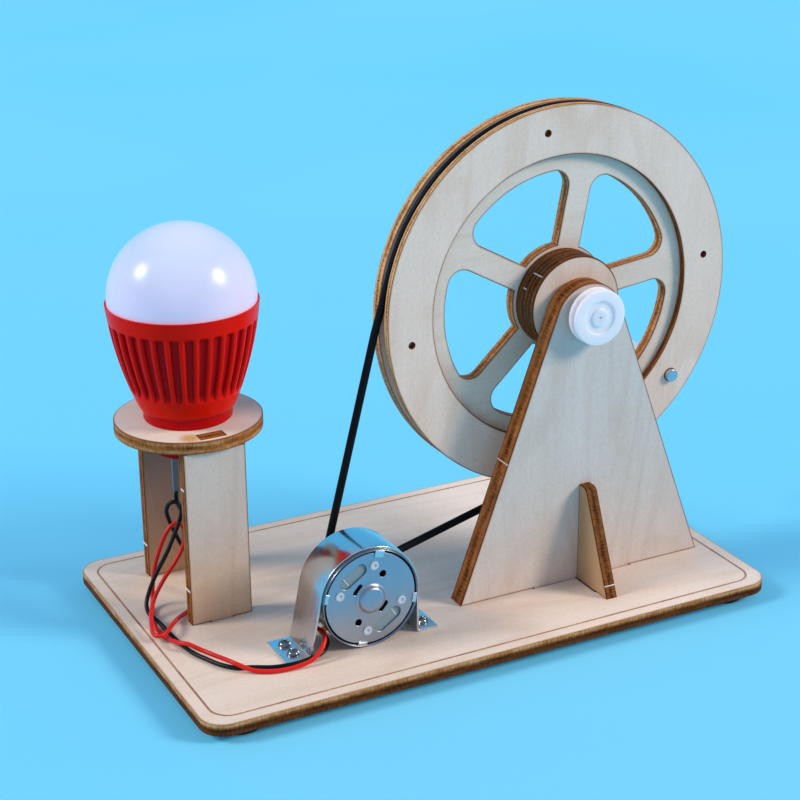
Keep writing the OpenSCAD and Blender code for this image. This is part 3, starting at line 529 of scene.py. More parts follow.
def veneer(tree, space, grain, tint, painted_light_fade=None, stain=None):
    """Colour of pale veneer with fine streaks along the grain, and the noise of the finest streaks.

    grain is the axis that the streaks run along; tint multiplies the colour and is painted light or shade
    that makes a piece lighter or darker than the rest; painted_light_fade is an axis, the two places along it
    between which the painted light changes, and its tint at the second; stain is the place of an amber spot.
    """
    look = bpy.context.scene.generator_ply

    def along(length_scale, width_scale):
        return tuple(length_scale if axis == grain else width_scale for axis in range(3))

    fine = noise(tree, space, along(90, 2400), 4.0, 0.6)
    broad = noise(tree, space, along(14, 110), 2.0)
    pores = noise(tree, space, along(420, 2600), 2.0, 0.5, (0.3, 0.1, 0.7))
    blotch = noise(tree, space, (45, 45, 45), 3.0)
    speck = noise(tree, space, (1900, 1900, 1900), 2.0, 0.6, (0.7, 0.4, 0.2))
    rings = maths(tree, "SINE", maths(tree, "MULTIPLY", noise(tree, space, along(5, 34), 1.0), 70.0))
    streak = ranged(tree, fine, 0.35, 0.8, 0, 0.22)
    for layer, low, high, amount in ((broad, 0.35, 0.75, 0.42),
                                     (blotch, 0.4, 0.75, 0.25),
                                     (speck, 0.3, 0.7, 0.35)):
        streak = maths(tree, "ADD", streak, ranged(tree, layer, low, high, 0, amount))
    face = mixed(tree, streak, look.face, look.grain)
    for layer, low, high, amount, code in ((pores, 0.6, 0.78, 0.2, "B79A86"),
                                           (rings, 0.5, 1.0, 0.14, "C9A488"),
                                           (blotch, 0.6, 0.72, 0.18, "D0AC84")):
        face = mixed(tree, ranged(tree, layer, low, high, 0, amount), face, linear(code))
    # Painted light and shade: each piece's own tint, which changes along painted_light_fade where one is
    # given.
    shade = tint
    if painted_light_fade is not None:
        axis, first, last, far_light_tint = painted_light_fade
        shade = mixed(tree, ranged(tree, coordinate(tree, space, axis), first, last), tint, far_light_tint)
    face = mixed(tree, 1.0, face, shade, "MULTIPLY")
    if stain is not None:
        spot = ranged(tree, distance(tree, space, stain), 3.6 * MM, 0.8 * MM)
        spot = maths(tree, "MULTIPLY", spot, ranged(tree, blotch, 0.3, 0.6, 0.5, 0.9))
        face = mixed(tree, spot, face, linear("D09A4C"))
    return face, fine


def burnt_edge(tree, space, light, core=0.17, rim=0.5, deep=1.0, inner_char_and_shade=None):
    """Colour of an edge burnt brown in streaks and layers, and the noises of its streaks and patches.

    light is how much of the lighter brown the edge shows; core is how much darker its middle is; rim and
    deep are what is left of light next to a face and at the back; inner_char_and_shade is a point, the two
    distances from it between which the edge gets lighter, and what is left of light at the first: deeper
    char, and painted shade in small holes near the point.
    """
    look = bpy.context.scene.generator_ply
    edge_map = put(tree, "ShaderNodeUVMap", uv_map="edge_map").outputs[0]
    cut = noise(tree, edge_map, (2600, 1.6, 1), 3.0, 0.6)
    patch = noise(tree, edge_map, (150, 2.5, 1), 3.0)
    wander = noise(tree, edge_map, (110, 0.4, 1), 3.0, 0.6, (3, 7, 0))
    depth = coordinate(tree, edge_map, 1)
    off_core = maths(tree, "ADD", depth, ranged(tree, wander, 0.3, 0.7, -0.6, -0.4))
    off_core = maths(tree, "ABSOLUTE", off_core)
    near_face = maths(tree, "MINIMUM", depth, maths(tree, "SUBTRACT", 1.0, depth))
    tone = ranged(tree, cut, 0.3, 0.7, 0.34, 0.58)
    tone = maths(tree, "ADD", tone, ranged(tree, patch, 0.3, 0.7, -0.1, 0.1))
    tone = maths(tree, "ADD", tone, ranged(tree, off_core, 0.06, 0.28, -core, 0.06))
    tone = maths(tree, "MULTIPLY", tone, ranged(tree, near_face, 0.02, 0.13, rim * light, light))
    tone = maths(tree, "MULTIPLY", tone, ranged(tree, depth, 0.15, 0.55, 1.0, deep))
    # Char and painted shade: the edge is darker near the given point.
    if inner_char_and_shade is not None:
        point, near, far, left = inner_char_and_shade
        tone = maths(tree, "MULTIPLY", tone, ranged(tree, distance(tree, space, point), near, far, left, 1.0))
    edge = mixed(tree, ranged(tree, tone, 0.0, 0.5), look.char, look.brown)
    edge = mixed(tree, ranged(tree, tone, 0.4, 1.0), edge, look.tan)
    return edge, cut, patch


def plywood(name, face, edge):
    """Finish of cut plywood: face is what its veneer is given, and edge what its burnt edges are given."""
    made, tree, shader = new_finish(name)
    space = object_space(tree)
    skin, fine = veneer(tree, space, **face)
    brown, cut, patch = burnt_edge(tree, space, **edge)
    burn_and_shade = burnt(tree)
    smoke = ranged(tree, burn_and_shade, 0.0, 0.6, 0, 0.55)
    smoke = maths(tree, "MULTIPLY", smoke, ranged(tree, patch, 0.3, 0.7, 0.5, 1.0))
    skin = mixed(tree, smoke, skin, linear("8A5226"))
    skin = mixed(tree, ranged(tree, burn_and_shade, 0.62, 0.95), skin, brown)
    blur = ranged(tree, fine, 0.3, 0.7, 0.52, 0.66)
    feed(tree, shader, {"Base Color": skin, "Roughness": blur, "Specular IOR Level": 0.06})
    bump(tree, shader, maths(tree, "ADD", fine, cut), 0.02 * MM, 0.35)
    return made


def steel(name, tint, roughness, brushed, depth=0.004 * MM, dull=None):
    """Metal whose gloss and relief vary in fine lines, long along the axes with a small scale in brushed.

    depth is how far the relief reaches; dull is an axis, the two places along it between which the metal gets
    duller, and its roughness at the second as a multiple.
    """
    made, tree, shader = new_finish(name)
    space = object_space(tree)
    lines = noise(tree, space, brushed, 4.0, 0.6)
    cloud = noise(tree, space, (160, 160, 160), 3.0)
    darker = tuple(0.72 * part for part in tint)
    skin = mixed(tree, ranged(tree, cloud, 0.3, 0.7, 0.0, 0.16), tint, darker)
    blur = ranged(tree, lines, 0.25, 0.75, 0.8 * roughness, 1.25 * roughness)
    if dull is not None:
        axis, first, last, multiple = dull
        worn = ranged(tree, coordinate(tree, space, axis), first, last, 1.0, multiple)
        blur = maths(tree, "MULTIPLY", blur, worn)
    feed(tree, shader, {"Base Color": skin, "Roughness": blur, "Metallic": 1.0})
    bump(tree, shader, lines, depth, 0.4)
    return made


def plastic(name, tint, roughness, shine=0.5, glow=0.0, speckle=0.08, shaded=None):
    """Moulded plastic or rubber with faint unevenness.

    glow is how much light passes under its skin; speckle is how much of a darker tone shows; shaded is its
    colour where the mesh's burn_and_shade mark gives it painted shade.
    """
    made, tree, shader = new_finish(name)
    space = object_space(tree)
    cloud = noise(tree, space, (220, 220, 220), 3.0)
    fine = noise(tree, space, (2200, 2200, 2200), 2.0)
    darker = tuple(0.6 * part for part in tint)
    skin = mixed(tree, ranged(tree, cloud, 0.3, 0.7, 0.0, speckle), tint, darker)
    # Painted shade: the shaded colour where the burn_and_shade mark is set.
    if shaded is not None:
        skin = mixed(tree, burnt(tree), skin, shaded)
    blur = ranged(tree, cloud, 0.3, 0.7, 0.85 * roughness, 1.15 * roughness)
    feed(tree, shader, {"Base Color": skin, "Roughness": blur, "Specular IOR Level": shine})
    if glow:
        feed(tree, shader, {"Subsurface Weight": glow, "Subsurface Radius": (1.0, 0.9, 0.85),
                            "Subsurface Scale": GLOW_REACH})
    bump(tree, shader, fine, 0.01 * MM, 0.25)
    return made


def dress(finish, *nodes):
    """Gives CAD nodes that stay as they are a finish."""
    for node in nodes:
        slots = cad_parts[node].data.materials
        slots.clear()
        slots.append(finish)


# Routes of the wires' undersides: from the board's left edge, its middle and its top, in metres

RED_WAY = (
    (0.03630, -0.02620, 0.00447), (0.03470, -0.02860, 0.00268), (0.03140, -0.02990, 0.00078),
    (0.02650, -0.02990, 0.00005), (0.02200, -0.02920, 0.00005), (0.01800, -0.02710, 0.00032),
    (0.01520, -0.02430, 0.00127), (0.01400, -0.02160, 0.00127), (0.01290, -0.01730, 0.00057),
    (0.01100, -0.01350, 0.00067), (0.00870, -0.01070, 0.00147), (0.00700, -0.00800, 0.00107),
    (0.00630, -0.00300, 0.00005), (0.00570, 0.00120, 0.00005), (0.00620, 0.00460, 0.00005),
    (0.00720, 0.00840, 0.00005), (0.00850, 0.01240, 0.00022), (0.00950, 0.01480, 0.00227),
    (0.01000, 0.01500, 0.00647), (0.01100, 0.01500, 0.01097), (0.01280, 0.01510, 0.01547),
    (0.01460, 0.01520, 0.01848), (0.01630, 0.01510, 0.01978), (0.01770, 0.01400, 0.01948),
    (0.01780, 0.01260, 0.01768), (0.01640, 0.01130, 0.01467), (0.01380, 0.01040, 0.01147),
    (0.01060, 0.00940, 0.00847), (0.00780, 0.00790, 0.00547), (0.00570, 0.00520, 0.00318),
    (0.00420, 0.00100, 0.00158), (0.00350, -0.00230, 0.00127), (0.00460, -0.00390, 0.00138),
    (0.00670, -0.00280, 0.00158), (0.00900, 0.00000, 0.00147), (0.01200, 0.00400, 0.00053),
    (0.01650, 0.00760, 0.00012), (0.02150, 0.01080, 0.00107), (0.02470, 0.01400, 0.00497),
    (0.02580, 0.01620, 0.01047), (0.02590, 0.01660, 0.01748),
)
BLACK_WAY = (
    (0.03740, -0.02520, 0.00147), (0.03520, -0.02770, 0.00078), (0.03170, -0.02830, 0.00032),
    (0.02800, -0.02840, 0.00005), (0.02300, -0.02760, 0.00005), (0.01850, -0.02530, 0.00005),
    (0.01520, -0.02380, 0.00005), (0.01270, -0.02090, 0.00005), (0.01080, -0.01700, 0.00005),
    (0.00900, -0.01230, 0.00005), (0.00800, -0.00600, 0.00005), (0.00750, 0.00000, 0.00022),
    (0.00680, 0.00280, 0.00107), (0.00610, 0.00540, 0.00147), (0.00590, 0.00800, 0.00168),
    (0.00640, 0.01030, 0.00318), (0.00820, 0.01160, 0.00647), (0.01030, 0.01200, 0.00997),
    (0.01280, 0.01210, 0.01397), (0.01510, 0.01280, 0.01778), (0.01700, 0.01350, 0.02108),
    (0.01790, 0.01420, 0.02348), (0.01720, 0.01490, 0.02518), (0.01570, 0.01570, 0.02508),
    (0.01490, 0.01640, 0.02308), (0.01560, 0.01700, 0.02008), (0.01700, 0.01720, 0.01628),
    (0.01870, 0.01700, 0.01228), (0.02080, 0.01680, 0.00997), (0.02300, 0.01660, 0.01107),
    (0.02300, 0.01660, 0.01447), (0.02120, 0.01680, 0.01848), (0.01880, 0.01680, 0.02208),
)

# The tags' reach from the can and their depth, and how far apart the lamp's legs are

TAG_REACH = 1.9 * MM
TAG_Y = -21.1 * MM
LEG_PITCH = 8.2 * MM


def wire_line(way, tag_angle, side, diameter):
    """Centre line of a wire: straight off its tag, along the way and straight up into the lamp's leg."""
    a = math.radians(tag_angle)
    reach = half_width("motor_can") + TAG_REACH - diameter / 2
    start = np.array((MOTOR[0] + reach * math.cos(a), TAG_Y, MOTOR[2] + reach * math.sin(a)))
    leg = np.array((LAMP[0] + side * LEG_PITCH / 2, LAMP[1], span("lamp_legs")[0][2]))
    corner = np.array((BOARD_LOW[0], 0.0, BOARD_TOP + diameter / 2))
    off_tag, below_leg = 1.6 * diameter * Y, 2.3 * diameter * Z
    stations = np.vstack((start, start - off_tag, np.array(way) + corner, leg - below_leg, leg))
    return smooth_line(stations, 6)


class GENERATOR_OT_stage(bpy.types.Operator):
    """Makes the camera, the floor, the backdrop and the light."""

    bl_idname = "generator.stage"
    bl_label = "Stage"

    def execute(self, context):
        look = context.scene.generator_stage
        context.scene.view_settings.view_transform = "Standard"
        self.camera(context, look)
        self.sweep(context, look)
        world = bpy.data.worlds.new("studio")
        world.use_nodes = True
        world.node_tree.nodes["Background"].inputs["Color"].default_value = rgba(look.ambient)
        context.scene.world = world
        for name, strength, direction in (("right_light", look.key, look.key_from),
                                          ("left_light", look.side, look.side_from)):
            lamp = bpy.data.lights.new(name, "SUN")
            lamp.energy = strength
            lamp.color = look.warmth
            lamp.angle = look.light_size
            light = bpy.data.objects.new(name, lamp)
            light.rotation_mode = "QUATERNION"
            light.rotation_quaternion = Vector(direction).to_track_quat("Z", "Y")
            context.scene.collection.objects.link(light)
        return {"FINISHED"}

    def camera(self, context, look):
        """Camera from its place, yaw, pitch and roll."""
        right = np.array((math.cos(look.yaw), -math.sin(look.yaw), 0.0))
        level = np.array((math.sin(look.yaw), math.cos(look.yaw), 0.0))
        ahead = level * math.cos(look.pitch) + Z * math.sin(look.pitch)
        up = np.cross(right, ahead)
        c, s = math.cos(look.roll), math.sin(look.roll)
        turn = np.column_stack((right * c + up * s, up * c - right * s, -ahead))
        lens = bpy.data.cameras.new("camera")
        lens.lens = look.lens
        lens.sensor_width = 36.0
        lens.clip_start = 0.01
        lens.clip_end = 50.0
        camera = bpy.data.objects.new("camera", lens)
        camera.matrix_world = Matrix.Translation(look.place) @ Matrix(turn.tolist()).to_4x4()
        context.scene.collection.objects.link(camera)
        context.scene.camera = camera

    def sweep(self, context, look):
        """Paper under the feet that curves up to a wall behind: floor, arc and wall drawn along X."""
        half, back, bend, height = 5.0, 2.2, 0.6, 3.0
        line = np.vstack(((-half, 0), arc((back, bend), bend, -QUARTER_TURN, 0, 24), (back + bend, height)))
        points = np.stack([np.column_stack((np.full(len(line), x), line)) for x in (half, -half)], axis=1)
        made, tree, shader = new_finish("blue_paper")
        cloud = noise(tree, object_space(tree), (3, 3, 3), 2.0)
        skin = mixed(tree, ranged(tree, cloud, 0.3, 0.7, 0, 0.03), look.backdrop, linear("FFFFFF"))
        feed(tree, shader, {"Base Color": skin, "Roughness": 0.9, "Specular IOR Level": 0.0})
        mesh = bpy.data.meshes.new("paper_sweep")
        mesh.from_pydata(points.reshape(-1, 3).tolist(), [], grid_quads(len(line), 2)[:, ::-1].tolist())
        mesh.polygons.foreach_set("use_smooth", np.ones(len(mesh.polygons), bool))
        mesh.materials.append(made)
        sweep = bpy.data.objects.new("paper_sweep", mesh)
        context.scene.collection.objects.link(sweep)


class GENERATOR_OT_wires(bpy.types.Operator):
    """Makes the red and the black wire from the motor to the lamp."""

    bl_idname = "generator.wires"
    bl_label = "Wires"

    def execute(self, context):
        look = context.scene.generator_cords
        for name, way, tag_angle, side, tint in (("wire_red", RED_WAY, 212, 1, look.red),
                                                 ("wire_black", BLACK_WAY, 226, -1, look.black)):
            line = wire_line(way, tag_angle, side, look.wire_d)
            curve = bpy.data.curves.new(name + "_lead", "CURVE")
            curve.dimensions = "3D"
            curve.bevel_depth = look.wire_d / 2
            curve.bevel_resolution = 5
            curve.use_fill_caps = True
            spline = curve.splines.new("POLY")
            spline.points.add(len(line) - 1)
            spline.points.foreach_set("co", np.column_stack((line, np.ones(len(line)))).ravel())
            spline.use_smooth = True
            curve.materials.append(plastic(name + "_skin", tint, 0.32, shine=0.25))
            wire = bpy.data.objects.new(name + "_lead", curve)
            context.scene.collection.objects.link(wire)
            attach(wire, "frame")
            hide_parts(name)
        return {"FINISHED"}


class GENERATOR_OT_base(bpy.types.Operator):
    """Makes the base board with its engraved line and slots, and the rubber feet."""

    bl_idname = "generator.base"
    bl_label = "Base board and feet"

    def execute(self, context):
        size = BOARD_HIGH - BOARD_LOW
        x, y = (BOARD_LOW + BOARD_HIGH)[:2] / 2
        corner_r = 6 * MM
        outlines = [rounded_rectangle(size[0], size[1], corner_r)]
        for slot_x, node, width in ((AXLE[0], "support_plate", SUPPORT_TAB),
                                    (LAMP[0], "post_front", POST_TAB),
                                    (LAMP[0], "post_rear", POST_TAB)):
            low, high = span(node)
            slot = (width + 2 * SLOT_PLAY, high[1] - low[1] + 2 * SLOT_PLAY)
            outlines.append(rectangle((slot_x - x, (low[1] + high[1]) / 2 - y), *slot))
        fin_y = span("support_plate")[0][1] - FIN_TAB / 2 - 1.5 * SLOT_PLAY
        outlines.append(rectangle((AXLE[0] - x, fin_y - y), PLY + 2 * SLOT_PLAY, FIN_TAB - SLOT_PLAY))
        # Painted light: the board's veneer gets lighter towards its right end, where the right light falls
        # strongest.
        painted_light_fade = (0, -40 * MM, 75 * MM, (1.19, 1.24, 1.34))
        finish = plywood("base_plywood", dict(grain=0, tint=(1.03, 1.03, 1.06), painted_light_fade=painted_light_fade),
                         dict(light=1.3, core=0.1, rim=0.9, deep=0.26))
        plywood_piece("base_board", outlines, PLY, lying(x, y, BOARD_TOP), finish, "frame")
        self.line(x, y, size)
        self.feet()
        return {"FINISHED"}

    def line(self, x, y, size):
        """Engraved border: a flat brown ribbon between two rounded rectangles, just above the board's top."""
        inset, width, radius, lift = 3 * MM, 0.55 * MM, 5 * MM, 0.02 * MM
        outer = rounded_rectangle(*(size[:2] - 2 * inset), radius)
        inner = rounded_rectangle(*(size[:2] - 2 * (inset + width)), radius - width)
        flat = np.vstack((outer, inner))
        points = sheet_points(flat, np.full(len(flat), -lift), lying(x, y, BOARD_TOP))
        under = sheet_points(flat, np.full(len(flat), lift), lying(x, y, BOARD_TOP))
        n = len(outer)
        top = grid_quads(2, n, False, True)
        shell = np.vstack((top, top[:, ::-1] + 2 * n))
        j = np.arange(n)
        k = (j + 1) % n
        sides = np.vstack((np.column_stack((j, j + 2 * n, k + 2 * n, k)),
                           np.column_stack((j + n, k + n, k + 3 * n, j + 3 * n))))
        made, tree, shader = new_finish("engraved_line")
        patch = noise(tree, object_space(tree), (120, 120, 120), 3.0)
        fine = noise(tree, object_space(tree), (1500, 1500, 1500), 2.0)
        shade = ranged(tree, patch, 0.3, 0.7, 0, 0.6)
        shade = maths(tree, "ADD", shade, ranged(tree, fine, 0.3, 0.7, 0, 0.4))
        skin = mixed(tree, shade, linear("8C5F42"), linear("C49A7C"))
        feed(tree, shader, {"Base Color": skin, "Roughness": 0.8})
        piece = new_piece("border_line", np.vstack((points, under)), np.vstack((shell, sides)), made, "frame")

    def feet(self):
        """Round pads with soft corners."""
        low, high = span("rubber_feet")
        radius, inset_x, inset_y = 5 * MM, 10 * MM, 7 * MM
        height = high[2] - low[2]
        profile = softened([(0, 0), (radius, 0), (radius, height), (0, height)], 0.6 * MM)
        places = [(x, y) for x in (BOARD_LOW[0] + inset_x, BOARD_HIGH[0] - inset_x)
                  for y in (BOARD_LOW[1] + inset_y, BOARD_HIGH[1] - inset_y)]
        shapes = [turned(profile, np.array((x, y, low[2])), Z, 64) for x, y in places]
        points, faces = joined(shapes)
        finish = plastic("foot_rubber", linear("222225"), 0.75, shine=0.3)
        new_piece("rubber_pads", points, faces, finish, "frame", ("rubber_feet",))


class GENERATOR_OT_support(bpy.types.Operator):
    """Makes the support plate and its brace fin."""

    bl_idname = "generator.support"
    bl_label = "Support plate and brace"

    def execute(self, context):
        self.plate(context.scene.generator_wheel)
        self.fin()
        return {"FINISHED"}

    def plate(self, shape):
        """Plate whose sides touch its rounded top, with a tab below and a hole for the axle."""
        low, high = span("support_plate")
        half, tab = half_width("support_plate"), SUPPORT_TAB / 2
        top = np.array((0.0, high[2] - BOARD_TOP - shape.top_r))
        turn = touch_angle((half, 0), top, shape.top_r, 1)
        outline = np.vstack((((-tab, -PLY), (tab, -PLY), (tab, 0), (half, 0)),
                             arc(top, shape.top_r, turn, math.pi - turn, 48), ((-half, 0), (-tab, 0))))
        hole = circle(shape.axle_r + RUN_PLAY, 32, (0, AXLE[2] - BOARD_TOP))
        place = upright(AXLE[0], low[1], BOARD_TOP)
        # Painted light: the support's veneer is tinted a little darker and bluer than the other plywood.
        finish = plywood("support_plywood", dict(grain=2, tint=(0.95, 0.98, 1.06)), dict(light=0.8))
        plywood_piece("support_plate", [outline, hole], high[1] - low[1], place, finish, "frame")

    def fin(self):
        """Triangle with a rounded tip and a tab below, which stands across the plate."""
        low, high = span("brace_fin")
        reach, height = high[1] - low[1], high[2] - BOARD_TOP
        tip = (FIN_TIP_R, height - FIN_TIP_R)
        turn = touch_angle((reach, 0), tip, FIN_TIP_R, 1)
        outline = np.vstack((((0, -PLY), (FIN_TAB, -PLY), (FIN_TAB, 0), (reach, 0)),
                             arc(tip, FIN_TIP_R, turn, QUARTER_TURN, 12), ((0, height),)))
        place = (np.array((high[0], high[1], BOARD_TOP)), Y, Z)
        # Painted shade: the fin's veneer is tinted much darker and browner than the other plywood.
        finish = plywood("brace_plywood", dict(grain=2, tint=(0.7, 0.56, 0.4)), dict(light=0.55))
        plywood_piece("brace_fin", [outline * (-1, 1)], high[0] - low[0], place, finish, "frame")


class GENERATOR_OT_lamp_stand(bpy.types.Operator):
    """Makes the two posts and the disc that carry the lamp."""

    bl_idname = "generator.lamp_stand"
    bl_label = "Lamp stand"

    def execute(self, context):
        tab = POST_TAB / 2
        # Painted shade: the rear post is tinted dark brown and the front post a little darker; towards the
        # board both take a warmer tint, painted light bounced off the board.
        foot_bounce_h = 26 * MM
        for node, tint, foot_bounce_tint in (("post_front", (0.9, 0.88, 0.9), (0.95, 0.78, 0.64)),
                                      ("post_rear", (0.5, 0.37, 0.32), (0.6, 0.42, 0.3))):
            low, high = span(node)
            painted_light_fade = (2, BOARD_TOP + foot_bounce_h, BOARD_TOP, foot_bounce_tint)
            finish = plywood(node + "_plywood", dict(grain=2, tint=tint, painted_light_fade=painted_light_fade), dict(light=0.75))
            half, top = half_width(node), high[2] - BOARD_TOP
            step = top - PLY
            outline = np.array(((-half, 0), (-tab, 0), (-tab, -PLY), (tab, -PLY), (tab, 0), (half, 0),
                                (half, step), (tab, step), (tab, top),
                                (-tab, top), (-tab, step), (-half, step)))
            place = upright(LAMP[0], low[1], BOARD_TOP)
            plywood_piece(node, [outline], high[1] - low[1], place, finish, "frame")
        plug_r = 9.1 * MM
        outlines = [circle(half_width("lamp_disc"), 240), circle(plug_r, 96)]
        for node in ("post_front", "post_rear"):
            low, high = span(node)
            slot = (POST_TAB + 2 * SLOT_PLAY, high[1] - low[1] + 2 * SLOT_PLAY)
            outlines.append(rectangle((0, (low[1] + high[1]) / 2 - LAMP[1]), *slot))
        stain = (LAMP[0] - 5 * MM, LAMP[1] - 14 * MM, DISC_TOP)
        # Painted light: the disc's veneer is tinted lighter and bluer than the other plywood, against the red
        # light that the lamp throws on it.
        finish = plywood("disc_plywood", dict(grain=0, tint=(1.04, 1.14, 1.2), stain=stain), dict(light=1.1))
        plywood_piece("lamp_disc", outlines, PLY, lying(LAMP[0], LAMP[1], DISC_TOP), finish, "frame")
        return {"FINISHED"}


class GENERATOR_OT_wheel(bpy.types.Operator):
    """Makes the wheel's two rings, its spoked disc and the hub discs."""

    bl_idname = "generator.wheel"
    bl_label = "Wheel"

    def execute(self, context):
        shape = context.scene.generator_wheel
        radius = half_width("wheel_back_ring")
        inner_r = radius - shape.ring_w
        mid_r = radius - shape.ring_w / 2
        pin_hole = circle(shape.pin_r + SEAT, 48, (PIN[0] - AXLE[0], PIN[2] - AXLE[2]))
        axle_hole = circle(shape.axle_r + SEAT, 32)
        self.rings(shape, radius, inner_r, mid_r, pin_hole)
        turns = [shape.turn + (k + 0.5) * FULL_TURN / shape.spokes for k in range(shape.spokes)]
        openings = [self.opening(shape, inner_r - shape.ledge, a) for a in turns]
        outlines = [circle(half_width("wheel_spoked_disc"), 360), axle_hole, pin_hole] + openings
        place = upright(*on_axis(AXLE, span("wheel_spoked_disc")[0][1]))
        # Painted light: the spoked disc and the hub discs are tinted lighter than the other plywood.
        finish = plywood("spoke_plywood", dict(grain=0, tint=(1.15, 1.13, 1.14)), dict(light=1.3))
        plywood_piece("wheel_spoked_disc", outlines, PLY, place, finish, "wheel")
        hub_finish = plywood("hub_plywood", dict(grain=2, tint=(1.15, 1.04, 1.01)), dict(light=0.52))
        hub_wear = 2.5
        for node in ("hub_disc_front", "hub_disc_middle", "hub_disc_rear"):
            low, high = span(node)
            plywood_piece(node, [circle(half_width(node), 180), axle_hole], high[1] - low[1],
                          upright(*on_axis(AXLE, low[1])), hub_finish, "wheel", hub_wear)
        return {"FINISHED"}

    def rings(self, shape, radius, inner_r, mid_r, pin_hole):
        """Front and back ring, the front one with four small holes."""
        # Painted light and shade: the rings are tinted lighter than the other plywood, and their cut edges
        # get darker towards the middle, with deeper char and painted shade on the inner edge and painted
        # shade in the small holes.
        inner_char_and_shade = (AXLE, mid_r + shape.hole_r, radius - MM, 0.45)
        finish = plywood("ring_plywood", dict(grain=2, tint=(1.22, 1.12, 1.12)), dict(light=1.75, inner_char_and_shade=inner_char_and_shade))
        turns = [shape.turn + k * QUARTER_TURN for k in range(4)]
        small = [circle(shape.hole_r, 32, (mid_r * math.cos(a), mid_r * math.sin(a))) for a in turns]
        for node, holes in (("wheel_front_ring", small), ("wheel_back_ring", [])):
            low, high = span(node)
            outlines = [circle(radius, 360), circle(inner_r, 300), pin_hole] + holes
            plywood_piece(node, outlines, high[1] - low[1], upright(*on_axis(AXLE, low[1])), finish, "wheel")

    def opening(self, shape, outer_r, direction):
        """Outline between two spokes: arc round the boss, straight spoke sides, round corners, outer arc."""
        half = math.pi / shape.spokes
        centre_r = outer_r - shape.corner_r
        centre_a = half - math.asin((shape.spoke_w / 2 + shape.corner_r) / centre_r)
        boss_a = half - math.asin(shape.spoke_w / 2 / shape.boss_r)
        centre = centre_r * np.array((math.cos(centre_a), math.sin(centre_a)))
        side = np.vstack((arc((0, 0), shape.boss_r, 0, boss_a, 10),
                          arc(centre, shape.corner_r, half + QUARTER_TURN, centre_a, 14),
                          arc((0, 0), outer_r, centre_a, 0, 16)[1:]))
        flat = np.vstack((side, (side * (1, -1))[-2:0:-1]))
        c, s = math.cos(direction), math.sin(direction)
        return flat @ np.array(((c, s), (-s, c)))


class GENERATOR_OT_nubs(bpy.types.Operator):
    """Makes the pale nubs that the cutting left on a few edges."""

    bl_idname = "generator.nubs"
    bl_label = "Cut nubs"

    def execute(self, context):
        finish = plastic("nub_wood", linear("E6D9C8"), 0.6, shine=0.2)
        thick, medium, thin = 0.25 * MM, 0.18 * MM, 0.15 * MM
        post_x = span("post_front")[0][0]
        on_posts = [self.bar((post_x, middle(node)[1], BOARD_TOP + z), reach, Y, thick)
                    for node, z, reach in (("post_front", 34.7 * MM, 0.9 * MM),
                                           ("post_front", 8.8 * MM, 1.4 * MM),
                                           ("post_rear", 8.5 * MM, 1.4 * MM))]
        front, radius = span("hub_disc_middle")[0][1], half_width("hub_disc_middle")
        on_hub = []
        for degrees, behind, reach in ((138, -0.2 * MM, 1.9 * MM), (158, 1.8 * MM, 0.7 * MM)):
            a = math.radians(degrees)
            out = np.array((math.cos(a), 0.0, math.sin(a)))
            on_hub.append(self.bar(on_axis(AXLE, front + behind) + radius * out, reach, Y, medium))
        on_plates = [self.bar(*self.on_support(), Y, thin), self.bar(*self.on_fin(), X, thin)]
        self.piece("post_nubs", "frame", on_posts, finish)
        self.piece("hub_nubs", "wheel", on_hub, finish)
        self.piece("support_nubs", "frame", on_plates, finish)
        return {"FINISHED"}

    def piece(self, name, body, shapes, finish):
        """One piece from the shapes of its nubs."""
        points, faces = joined(shapes)
        new_piece(name, points, faces, finish, body)

    def bar(self, place, reach, axis, radius):
        """Thin bar with round ends that reaches both ways along an axis from its middle."""
        first = arc((0, -reach + radius), radius, -QUARTER_TURN, 0, 4)
        last = arc((0, reach - radius), radius, 0, QUARTER_TURN, 4)
        return turned(np.vstack((first, last)), np.asarray(place), axis, 12)

    def on_support(self):
        """Place about half way up the support plate's left edge, and half the edge's width."""
        top_r = bpy.context.scene.generator_wheel.top_r
        low, high = span("support_plate")
        x, z = self.on_slope((low[0], BOARD_TOP), (AXLE[0], high[2] - top_r), top_r, 0.49)
        return (x, (low[1] + high[1]) / 2, z), (high[1] - low[1]) / 2

    def on_fin(self):
        """Place low on the brace fin's slanted edge, and half the edge's width."""
        low, high = span("brace_fin")
        y, z = self.on_slope((low[1], BOARD_TOP), (high[1] - FIN_TIP_R, high[2] - FIN_TIP_R), FIN_TIP_R, 0.12)
        return ((low[0] + high[0]) / 2, y, z), (high[0] - low[0]) / 2

    def on_slope(self, corner, top, radius, part):
        """Place part of the way from a corner to where the line from it touches a rounded top."""
        turn = touch_angle(corner, top, radius, -1)
        touch = top + radius * np.array((math.cos(turn), math.sin(turn)))
        return corner + part * (touch - corner)


